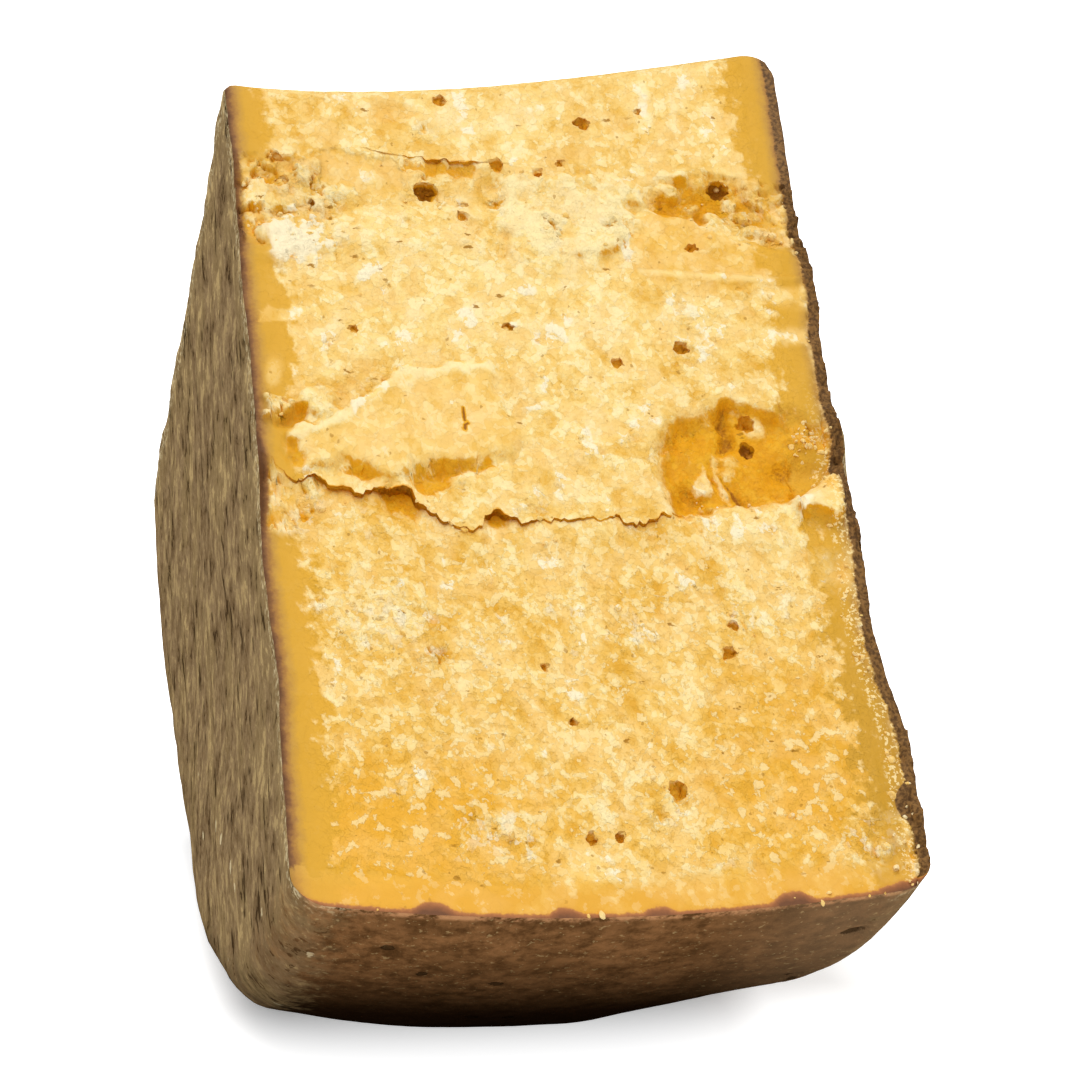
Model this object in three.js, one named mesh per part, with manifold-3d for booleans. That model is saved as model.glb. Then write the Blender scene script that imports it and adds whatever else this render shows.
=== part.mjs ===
// A chunk of hard cheese: a quarter of a wheel, split by two radial cuts and standing on its rind rim.
// Millimetres, +Z up. X runs along the wheel's axis, and the front cut looks towards -Y and upwards.
// The origin is on the floor, under the middle of the wheel. Each cut face has its own coordinates:
// "across" is X, and "distance" is how far a point lies from the wheel's axis along the cut.

import * as THREE from 'three';
import { mergeVertices } from 'three/addons/utils/BufferGeometryUtils.js';
import Module from 'manifold-3d';

const { clamp, degToRad, lerp, seededRandom, smoothstep } = THREE.MathUtils;

// Driving sizes of the wheel and of the wedge cut from it
const WHEEL_HEIGHT = 122;
const WHEEL_RADIUS = 195;
const RIM_BULGE = 5;
const WEDGE_ANGLE = degToRad(95);
const HALF_HEIGHT = WHEEL_HEIGHT / 2;
const RIM_ARC = WHEEL_RADIUS * WEDGE_ANGLE;

// The rim's rounded edges, tighter where the knife went through than round the middle
const EDGE_RADIUS_AT_CUT = 6;
const LEFT_EDGE_RADIUS = 9;
const RIGHT_EDGE_RADIUS = 20;

// The tip is rounded, slants up towards the right and sags in between
const TIP_RADIUS = 2.5;
const TIP_START = -1.4;
const TIP_RISE = 10.9;
const TIP_SAG = 5.2;
const TIP_SAG_LEAN = 0.75;

// The rim is worn flat where the chunk stands
const FOOT_WEAR = 1.6;
const AXIS_HEIGHT = WHEEL_RADIUS + RIM_BULGE - FOOT_WEAR;

// Unevenness of the rind and of the paste: size of the lumps and how far they stand out
const RIND_LUMP = 24;
const RIND_UNEVENNESS = 0.5;
const CRUMB_LUMP = 6;
const LEDGE_TOOTH = 5;
const LEDGE_JAG = 1.1;
const WALL_SLOPE = 0.5;
const OVERHANG_FADE = 8;

// How finely the faces are divided. A cut has four bands of rows with a ledge's wall between two bands.
const COLUMNS = 31;
const BAND_ROWS = [6, 7, 12, 15];
const ANGLE_STEPS = 12;
const ROWS = BAND_ROWS.reduce((sum, rows) => sum + rows, BAND_ROWS.length - 1);

// A flake, pit or lump: an oval with a flat middle and sloping sides, turned in the plane of its face.
function oval(across, distance, { at, half, turn = 0, height, slope = 0.5 }) {
  const x = across - at[0];
  const y = distance - at[1];
  const along = x * Math.cos(degToRad(turn)) + y * Math.sin(degToRad(turn));
  const aside = y * Math.cos(degToRad(turn)) - x * Math.sin(degToRad(turn));
  const reach = Math.hypot(along / half[0], aside / half[1]);
  return height * (1 - smoothstep(reach, 1 - slope, 1));
}

// The front cut: a clean band at the tip, a crumbled trough, a broken middle and a clean lower half.
// A ledge's line has only the points where its course turns.
const FRONT_CUT = {
  seed: 100,
  ledges: [
    {
      line: [
        [-61, 17], [-39, 16.5], [-26, 19.6], [-3, 19.5], [10, 21.8], [27, 25.4], [41, 23.6], [61, 25.6],
      ],
      overhang: 1,
    },
    { line: [[-61, 50.8], [-42, 46.1], [-10, 44.1], [24, 48.3], [61, 51.6]], overhang: 0 },
    {
      line: [
        [-61, 95], [-47, 102.4], [-41, 104.6], [-35, 102.9], [-28, 107.8], [-25, 111.4],
        [3, 111.5], [25, 108.8], [42, 107.2], [61, 111],
      ],
      overhang: 1.6,
    },
  ],
  bands: [
    { level: 1.2, crumb: 0.2, ovals: [] },
    {
      level: -1.6,
      crumb: 0.8,
      ovals: [
        { at: [36, 30], half: [21, 11], turn: 4, height: -4.5 },
        { at: [23, 28], half: [6, 5], height: 3.5 },
        { at: [-15, 40], half: [34, 9], turn: -6, height: 1.4 },
        { at: [-50, 24], half: [11, 9], height: -1.5 },
      ],
    },
    {
      level: 1.4,
      crumb: 0.35,
      ovals: [
        { at: [-31, 90], half: [28, 13], turn: -24, height: 2.8, slope: 0.25 },
        { at: [3, 103], half: [31, 14], height: 2, slope: 0.4 },
        { at: [41, 97], half: [20, 15], turn: -8, height: -7 },
        { at: [55, 106], half: [7, 6], height: 2.6 },
      ],
    },
    {
      level: 0,
      crumb: 0.25,
      ovals: [{ at: [-40, 110], half: [24, 9], turn: 18, height: -1.4 }],
    },
  ],
  // Round holes in the paste: across, distance and radius
  eyes: [
    [-20.2, 27, 2.6], [44.7, 26.3, 2.5], [-3.9, 21.9, 1.8], [16.1, 9.2, 1.8], [30.1, 68.8, 1.7],
    [41, 87.5, 2.1], [40, 94.2, 1.9], [30.5, 141.5, 1.7], [14.6, 172.9, 2.2],
  ],
};

// The back cut, broken in the same way along other lines
const BACK_CUT = {
  seed: 200,
  ledges: [
    { line: [[-61, 34], [-30, 30], [4, 37], [31, 33], [61, 41]], overhang: 0.8 },
    { line: [[-61, 66], [-20, 74], [16, 69], [61, 63]], overhang: 0 },
    { line: [[-61, 126], [-34, 131], [-6, 120], [22, 117], [40, 124], [61, 121]], overhang: 1.4 },
  ],
  bands: [
    { level: 0.6, crumb: 0.25, ovals: [] },
    {
      level: -0.8,
      crumb: 0.8,
      ovals: [
        { at: [-26, 51], half: [26, 12], turn: 8, height: -4.2 },
        { at: [24, 54], half: [28, 9], turn: -5, height: 1.5 },
      ],
    },
    {
      level: 0.6,
      crumb: 0.35,
      ovals: [
        { at: [28, 104], half: [27, 14], turn: 12, height: 2.6, slope: 0.25 },
        { at: [-28, 116], half: [26, 13], turn: 6, height: 2.4, slope: 0.4 },
        { at: [-44, 92], half: [15, 12], height: -4.5 },
      ],
    },
    { level: 0, crumb: 0.25, ovals: [{ at: [30, 129], half: [26, 8], height: -1.3 }] },
  ],
  eyes: [
    [22, 16, 1.9], [-31, 45, 2.4], [8, 52, 1.7], [-42, 91, 2.1], [11, 88, 1.8], [-16, 160, 2],
    [34, 171, 1.8],
  ],
};

// Swellings of the flat faces: place as distance and arc length behind the front cut, half sizes and height.
// The right face has a loosened chip of rind beside the deepest pit, and grows thicker towards the rim.
const LEFT_SWELLINGS = [
  { at: [120, 60], half: [90, 70], height: 0.6 },
  { at: [195, 95], half: [60, 110], height: 1.8 },
];
const RIGHT_SWELLINGS = [
  { at: [91, 6], half: [13, 8], height: 2.4 },
  { at: [52, 0], half: [14, 14], height: 0.9 },
  { at: [190, 0], half: [56, 60], height: 2.7 },
  { at: [130, 150], half: [80, 70], height: 1.4 },
];

// Swellings and worn places of the rim: place across and along the rim from the front cut
const RIM_SWELLINGS = [
  { at: [-15, 112], half: [50, 60], height: 1.3 },
  { at: [44, 112], half: [36, 70], height: -1.8 },
];

// Large primes that give each column, row and seed a random number of its own
const COLUMN_PRIME = 7919;
const ROW_PRIME = 104729;
const SEED_PRIME = 15485863;

// Smooth random heights between -1 and 1, the same on every run.
function lumps(x, y, seed) {
  const column = Math.floor(x);
  const row = Math.floor(y);
  const corner = (i, j) => {
    const place = (column + i) * COLUMN_PRIME + (row + j) * ROW_PRIME + seed * SEED_PRIME;
    return 2 * seededRandom(place) - 1;
  };
  const across = smoothstep(x - column, 0, 1);
  const along = smoothstep(y - row, 0, 1);
  return lerp(lerp(corner(0, 0), corner(1, 0), across), lerp(corner(0, 1), corner(1, 1), across), along);
}

// Where a ledge lies at a given place across the face: its line, with teeth.
function ledgeDistance(cut, index, across) {
  const { line } = cut.ledges[index];
  const next = clamp(line.findIndex(([x]) => x >= across), 1, line.length - 1);
  const [[x0, y0], [x1, y1]] = line.slice(next - 1, next + 1);
  const tooth = LEDGE_JAG * lumps(across / LEDGE_TOOTH, index, cut.seed);
  return lerp(y0, y1, clamp((across - x0) / (x1 - x0), 0, 1)) + tooth;
}

// How far a band of a cut stands out from the plane of the knife.
function bandHeight(cut, index, across, distance) {
  const band = cut.bands[index];
  const crumb = band.crumb * lumps(across / CRUMB_LUMP, distance / CRUMB_LUMP, cut.seed + index + 1);
  return band.ovals.reduce((height, shape) => height + oval(across, distance, shape), band.level + crumb);
}

// The band that a point of a cut lies in.
function bandAt(cut, across, distance) {
  return cut.ledges.filter((_, index) => distance > ledgeDistance(cut, index, across)).length;
}

// Distance of the tip from the wheel's axis, negative where the tip lies past it.
function tipDistance(across) {
  const share = clamp(across / WHEEL_HEIGHT + 0.5, 0, 1);
  return TIP_START + TIP_SAG * Math.sin(Math.PI * share ** TIP_SAG_LEAN) - TIP_RISE * share;
}

// The rounded tip, as the distance from the sharp tip at which its arc begins for a turn off the middle.
function tipRounding(turn) {
  const centre = TIP_RADIUS / Math.sin(WEDGE_ANGLE / 2);
  const aside = centre * Math.sin(turn);
  return centre * Math.cos(turn) - Math.sqrt(Math.max(TIP_RADIUS ** 2 - aside ** 2, 0));
}

function rimDistance(across) {
  return WHEEL_RADIUS + RIM_BULGE * (1 - (across / HALF_HEIGHT) ** 2);
}

// The band and the distance of one row of a cut. The rows beside a ledge lean over or under its wall.
function rowOnCut(cut, row, across) {
  const cover = 1 - Math.abs(across / HALF_HEIGHT) ** OVERHANG_FADE;
  let first = 0;
  let band = 0;
  while (row > first + BAND_ROWS[band]) {
    first += BAND_ROWS[band] + 1;
    band += 1;
  }
  const beside = (index) => ledgeDistance(cut, index, across);
  const lean = (index) => cut.ledges[index].overhang * cover - WALL_SLOPE;
  const start = band === 0
    ? tipDistance(across) + tipRounding(WEDGE_ANGLE / 2)
    : beside(band - 1) - lean(band - 1) / 2;
  const end = band === cut.ledges.length ? rimDistance(across) : beside(band) + lean(band);
  return { band, distance: lerp(start, end, (row - first) / BAND_ROWS[band]) };
}

// Moves a point sideways with the unevenness of the flat face that it lies nearest to.
function swell(across, distance, share) {
  const behind = distance * WEDGE_ANGLE * share;
  const shapes = across < 0 ? LEFT_SWELLINGS : RIGHT_SWELLINGS;
  const bumps = RIND_UNEVENNESS * lumps(distance / RIND_LUMP, behind / RIND_LUMP, Math.sign(across));
  const height = shapes.reduce((sum, shape) => sum + oval(distance, behind, shape), bumps);
  return across * (1 + height / HALF_HEIGHT);
}

// Rounds off the corner between a flat face of the wheel and its rim.
function roundEdge(across, distance, share) {
  const midway = across < 0 ? LEFT_EDGE_RADIUS : RIGHT_EDGE_RADIUS;
  const radius = lerp(EDGE_RADIUS_AT_CUT, midway, Math.sin(Math.PI * share));
  const side = (Math.abs(across) - (HALF_HEIGHT - radius)) / radius;
  const out = (distance - (rimDistance(across) - radius)) / radius;
  if (side <= 0 || out <= 0) return [across, distance];
  const sideIn = radius * side * (1 - Math.sqrt(1 - out ** 2 / 2));
  const rimIn = radius * out * (1 - Math.sqrt(1 - side ** 2 / 2));
  return [across - Math.sign(across) * sideIn, distance - rimIn];
}

// Where a place on the plain wheel comes to lie once the rind's unevenness and rounding are added.
function settled(across, distance, share) {
  const [roundAcross, roundDistance] = roundEdge(across, distance, share);
  return wedgePoint(swell(roundAcross, roundDistance, share), roundDistance, share);
}

// A point of the wedge: across, distance from the axis, and share of the way from the front cut to the back.
function wedgePoint(across, distance, share) {
  const turn = WEDGE_ANGLE * (share - 0.5);
  const tip = tipDistance(across);
  const rim = rimDistance(across);
  const onRim = (distance - tip) / (rim - tip);
  const tipY = -tip * Math.sin(WEDGE_ANGLE / 2);
  const tipZ = -tip * Math.cos(WEDGE_ANGLE / 2);
  return new THREE.Vector3(
    across,
    lerp(tipY, rim * Math.sin(turn), onRim),
    AXIS_HEIGHT + lerp(tipZ, -rim * Math.cos(turn), onRim),
  );
}

// The way out of a cut face, at right angles to the knife.
function cutNormal(share) {
  const side = share === 0 ? -1 : 1;
  return new THREE.Vector3(0, side * Math.cos(WEDGE_ANGLE / 2), Math.sin(WEDGE_ANGLE / 2));
}

// A point on a cut face, lifted by the relief of its band.
function cutPoint(cut, band, across, distance, share) {
  const height = bandHeight(cut, band, across, distance);
  return settled(across, distance, share).addScaledVector(cutNormal(share), height);
}

// A point on the rind: the two flat faces of the wheel, the rim, and the blunt edge at the tip.
function rindPoint(across, row, share) {
  const front = rowOnCut(FRONT_CUT, row, Math.sign(across) * HALF_HEIGHT).distance;
  const back = rowOnCut(BACK_CUT, row, Math.sign(across) * HALF_HEIGHT).distance;
  let distance = lerp(front, back, share);
  if (row === 0) distance = tipDistance(across) + tipRounding(WEDGE_ANGLE * (share - 0.5));
  if (row === ROWS) distance = rimDistance(across);
  const point = settled(across, distance, share);
  if (row === 0) return point;
  const outward = new THREE.Vector3(0, point.y, point.z - AXIS_HEIGHT).normalize();
  const arc = RIM_ARC * share;
  const bumps = RIND_UNEVENNESS * lumps(point.x / RIND_LUMP, arc / RIND_LUMP, 0);
  const height = RIM_SWELLINGS.reduce((sum, shape) => sum + oval(point.x, arc, shape), bumps);
  return point.addScaledVector(outward, (height * row) / ROWS);
}

// The wedge as one closed skin: a divided block whose faces are bent into the cuts, the rind and the tip.
function wedgeGeometry() {
  const block = new THREE.BoxGeometry(1, 1, 1, COLUMNS, ROWS, ANGLE_STEPS);
  block.deleteAttribute('normal');
  block.deleteAttribute('uv');
  const skin = mergeVertices(block);
  const corners = skin.getAttribute('position');
  for (let index = 0; index < corners.count; index += 1) {
    const across = corners.getX(index) * WHEEL_HEIGHT;
    const row = Math.round((0.5 - corners.getY(index)) * ROWS);
    const share = Math.round((0.5 - corners.getZ(index)) * ANGLE_STEPS) / ANGLE_STEPS;
    let point;
    if (share === 0 || share === 1) {
      const cut = share === 0 ? FRONT_CUT : BACK_CUT;
      const { band, distance } = rowOnCut(cut, row, across);
      point = cutPoint(cut, band, across, distance, share);
    } else {
      point = rindPoint(across, row, share);
    }
    corners.setXYZ(index, point.x, point.y, point.z);
  }
  return skin;
}

// The holes of one cut, as balls sunk into its surface.
function eyeGeometries(cut, share) {
  return cut.eyes.map(([across, distance, radius]) => {
    const ball = new THREE.IcosahedronGeometry(radius, 1);
    const middle = cutPoint(cut, bandAt(cut, across, distance), across, distance, share);
    return ball.translate(middle.x, middle.y, middle.z);
  });
}

const wasm = await Module();
wasm.setup();

function toSolid(geometry) {
  const bare = geometry.clone();
  bare.deleteAttribute('normal');
  bare.deleteAttribute('uv');
  const merged = mergeVertices(bare);
  const vertProperties = new Float32Array(merged.getAttribute('position').array);
  const triVerts = new Uint32Array(merged.index.array);
  return new wasm.Manifold(new wasm.Mesh({ numProp: 3, vertProperties, triVerts }));
}

function toGeometry(solid) {
  const mesh = solid.getMesh();
  const geometry = new THREE.BufferGeometry();
  geometry.setAttribute('position', new THREE.BufferAttribute(new Float32Array(mesh.vertProperties), 3));
  geometry.setIndex(new THREE.BufferAttribute(new Uint32Array(mesh.triVerts), 1));
  geometry.computeVertexNormals();
  return geometry;
}

// The whole chunk: the wedge, worn flat where it stands, with the eyes sunk into both cuts.
function cheeseChunk() {
  const below = new THREE.BoxGeometry(2 * WHEEL_RADIUS, 2 * WHEEL_RADIUS, WHEEL_RADIUS);
  below.translate(0, 0, -WHEEL_RADIUS / 2);
  const holes = [...eyeGeometries(FRONT_CUT, 0), ...eyeGeometries(BACK_CUT, 1)];
  const solid = [below, ...holes].reduce(
    (chunk, cutter) => chunk.subtract(toSolid(cutter)),
    toSolid(wedgeGeometry()),
  );
  const paste = new THREE.MeshStandardMaterial({ color: 0xecc676, roughness: 0.62, metalness: 0 });
  const chunk = new THREE.Mesh(toGeometry(solid), paste);
  chunk.name = 'cheese_chunk';
  return chunk;
}

const cheese = new THREE.Group();
cheese.add(cheeseChunk());

export default cheese;
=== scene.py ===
import math
from functools import partialmethod

import bmesh
import bpy
import numpy as np
from mathutils import Matrix, Vector, kdtree
from mathutils.geometry import delaunay_2d_cdt


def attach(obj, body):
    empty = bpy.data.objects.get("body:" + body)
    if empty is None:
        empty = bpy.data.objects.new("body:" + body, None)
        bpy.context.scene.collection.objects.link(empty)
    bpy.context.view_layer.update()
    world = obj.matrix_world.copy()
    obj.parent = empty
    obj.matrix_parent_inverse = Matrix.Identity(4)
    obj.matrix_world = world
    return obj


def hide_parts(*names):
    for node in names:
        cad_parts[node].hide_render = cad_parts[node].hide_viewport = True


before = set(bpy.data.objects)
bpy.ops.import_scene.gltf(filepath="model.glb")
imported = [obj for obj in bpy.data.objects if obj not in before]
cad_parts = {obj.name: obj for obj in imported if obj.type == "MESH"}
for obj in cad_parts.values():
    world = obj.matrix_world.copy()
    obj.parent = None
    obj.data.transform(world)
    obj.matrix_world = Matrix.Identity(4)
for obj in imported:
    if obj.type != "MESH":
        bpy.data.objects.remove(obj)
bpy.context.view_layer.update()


# The wheel that the chunk was cut from: a drum of aged cheese with a bulging rim and rounded edges.
# Sizes are in millimetres, as a cheesemaker gives them. X runs along the wheel's axis, and a cut face is
# described by its place across, which is X, and its distance from the wheel's axis.
MM = 0.001
WHEEL_HEIGHT = 122.0
HALF_HEIGHT = WHEEL_HEIGHT / 2
WHEEL_RADIUS = 195.0
RIM_BULGE = 5.0
WEDGE_ANGLE = math.radians(95)
HALF_ANGLE = WEDGE_ANGLE / 2
RIM_ARC = WHEEL_RADIUS * WEDGE_ANGLE
FOOT_WEAR = 1.6
AXIS_HEIGHT = WHEEL_RADIUS + RIM_BULGE - FOOT_WEAR
EDGE_RADIUS_AT_CUT = 6.0
LEFT_EDGE_RADIUS = 9.0
RIGHT_EDGE_RADIUS = 20.0
TIP_RADIUS = 2.5
TIP_START = -1.4
TIP_RISE = 10.9
TIP_SAG = 5.2
TIP_SAG_LEAN = 0.75
TIP_CORNERS = ((-1, 3.0, 2.0), (1, 7.0, 6.0))


def ease(value, low, high):
    """From 0 at low to 1 at high, level at both ends."""
    share = np.clip((value - low) / (high - low), 0, 1)
    return share * share * (3 - 2 * share)


def chance(column, row, seed):
    """A random number from 0 to 1 for each whole-numbered place, the same on every run."""
    mixed = column.astype(np.int64) * 374761393 + row.astype(np.int64) * 668265263 + seed * 974634533
    mixed = mixed & 0xFFFFFFFF
    mixed = ((mixed ^ (mixed >> 13)) * 1274126177) & 0xFFFFFFFF
    return (mixed ^ (mixed >> 16)) / 0xFFFFFFFF


def lumps(x, y, seed):
    """Soft random heights between -1 and 1, one lump to a unit."""
    x, y = np.broadcast_arrays(np.asarray(x, float), np.asarray(y, float))
    column, row = np.floor(x), np.floor(y)
    right, down = ease(x - column, 0, 1), ease(y - row, 0, 1)
    near = chance(column, row, seed) * (1 - right) + chance(column + 1, row, seed) * right
    far = chance(column, row + 1, seed) * (1 - right) + chance(column + 1, row + 1, seed) * right
    return 2 * (near * (1 - down) + far * down) - 1


def rough(x, y, seed, layers=4):
    """Lumps on lumps, each layer half as large and half as high."""
    total = sum(lumps(x * 2**layer, y * 2**layer, seed + layer) / 2**layer for layer in range(layers))
    return total / (2 - 0.5 ** (layers - 1))


def oval(across, distance, at, half, turn=0.0, slope=0.5):
    """1 inside an oval and 0 outside it, with sloping sides."""
    x, y = across - at[0], distance - at[1]
    cosine, sine = math.cos(math.radians(turn)), math.sin(math.radians(turn))
    reach = np.hypot((x * cosine + y * sine) / half[0], (y * cosine - x * sine) / half[1])
    return 1 - ease(reach, 1 - slope, 1)


def tip_distance(across):
    """How far the blunt tip lies from the wheel's axis, at a place across it."""
    share = np.clip(across / WHEEL_HEIGHT + 0.5, 0, 1)
    line = TIP_START + TIP_SAG * np.sin(math.pi * share**TIP_SAG_LEAN) - TIP_RISE * share
    for side, width, drop in TIP_CORNERS:
        worn = np.clip((side * across - HALF_HEIGHT + width) / width, 0, 1)
        line = line + drop * (1 - np.sqrt(1 - worn**2))
    return line


def tip_rounding(turn):
    """From the sharp tip to the rounded one, along a line turned from the middle."""
    centre = TIP_RADIUS / math.sin(HALF_ANGLE)
    aside = centre * np.sin(turn)
    return centre * np.cos(turn) - np.sqrt(np.maximum(TIP_RADIUS**2 - aside**2, 0))


def rim_distance(across):
    """The wheel's radius at a place across its bulging rim."""
    return WHEEL_RADIUS + RIM_BULGE * (1 - (across / HALF_HEIGHT) ** 2)


# Swellings of the flat faces: distance and arc behind the front cut, half widths, and height
LEFT_SWELLINGS = [((120, 60), (90, 70), 0.6), ((195, 95), (60, 110), 1.8)]
RIGHT_SWELLINGS = [
    ((91, 6), (13, 8), 2.4),
    ((52, 0), (14, 14), 0.9),
    ((190, 0), (56, 60), 2.7),
    ((130, 150), (80, 70), 1.4),
]
RIND_LUMP = 24.0
RIND_UNEVENNESS = 0.5
RIND_PIMPLE = 7.0
RIND_PIMPLE_HEIGHT = 0.22


def swell(across, distance, share):
    """Moves a place sideways with the unevenness of the flat face nearest to it."""
    behind = distance * WEDGE_ANGLE * share
    height = RIND_UNEVENNESS * lumps(distance / RIND_LUMP, behind / RIND_LUMP, 3)
    height = height + RIND_PIMPLE_HEIGHT * rough(distance / RIND_PIMPLE, behind / RIND_PIMPLE, 4, 2)
    left = sum(rise * oval(distance, behind, at, half) for at, half, rise in LEFT_SWELLINGS)
    right = sum(rise * oval(distance, behind, at, half) for at, half, rise in RIGHT_SWELLINGS)
    return across * (1 + (height + np.where(across < 0, left, right)) / HALF_HEIGHT)


def round_edge(across, distance, share):
    """Rounds off the corner between a flat face and the rim."""
    midway = np.where(across < 0, LEFT_EDGE_RADIUS, RIGHT_EDGE_RADIUS)
    radius = EDGE_RADIUS_AT_CUT + (midway - EDGE_RADIUS_AT_CUT) * np.sin(math.pi * share)
    side = np.clip((np.abs(across) - HALF_HEIGHT + radius) / radius, 0, 1)
    out = np.clip((distance - rim_distance(across) + radius) / radius, 0, 1)
    inward = radius * side * (1 - np.sqrt(1 - out**2 / 2))
    upward = radius * out * (1 - np.sqrt(1 - side**2 / 2))
    return across - np.sign(across) * inward, distance - upward


def wedge_place(across, distance, share):
    """Y and Z of a place in the plain wedge, where share runs from the front cut, 0, to the back cut, 1."""
    turn = WEDGE_ANGLE * (share - 0.5)
    tip, rim = tip_distance(across), rim_distance(across)
    out = (distance - tip) / (rim - tip)
    tip_y, tip_z = -tip * math.sin(HALF_ANGLE), -tip * math.cos(HALF_ANGLE)
    y = tip_y + (rim * np.sin(turn) - tip_y) * out
    z = tip_z + (-rim * np.cos(turn) - tip_z) * out
    return y, AXIS_HEIGHT + z


def settled(across, distance, share):
    """A place on the wedge once the rind's unevenness and rounding are added, as X, Y and Z."""
    round_across, round_distance = round_edge(across, distance, share)
    x = swell(round_across, round_distance, share)
    y, z = wedge_place(x, round_distance, share)
    return np.stack(np.broadcast_arrays(x, y, z), -1)


def outward(share):
    """The way out of the front cut at 0, out of the back cut at 1, and of the tip in between."""
    side = 2 * np.asarray(share, float) - 1
    y, z = side * math.cos(HALF_ANGLE), np.full_like(side, math.sin(HALF_ANGLE))
    return np.stack([np.zeros_like(side), y, z], -1) / np.hypot(y, z)[..., None]


# The two cut faces: hard paste that the knife only half cut, so that it broke along ledges.
# A ledge is a line across the face, whose lip hangs over an undercut gap. Between ledges lie bands, and each
# band has parts that stand up or lie sunk: plates with a broken outline, and oval spots. Rises are in mm.
def ledge_line(line, undercut, **size):
    """A broken line across the face, with how far the paste under it is hollowed out."""
    return {"line": line, "undercut": undercut, **size}


def spot(across, distance, half_across, half_distance, turn=0, **look):
    """An oval part of a band, by its middle, its half widths and its turn in degrees."""
    return {"oval": ((across, distance), (half_across, half_distance), turn), **look}


def plate(*outline, **look):
    """A part of a band with a broken outline."""
    return {"outline": list(outline), **look}


def face_band(*parts, **look):
    """The face between two ledges, with the parts that stand up or lie sunk in it."""
    return {"parts": parts, **look}


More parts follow.
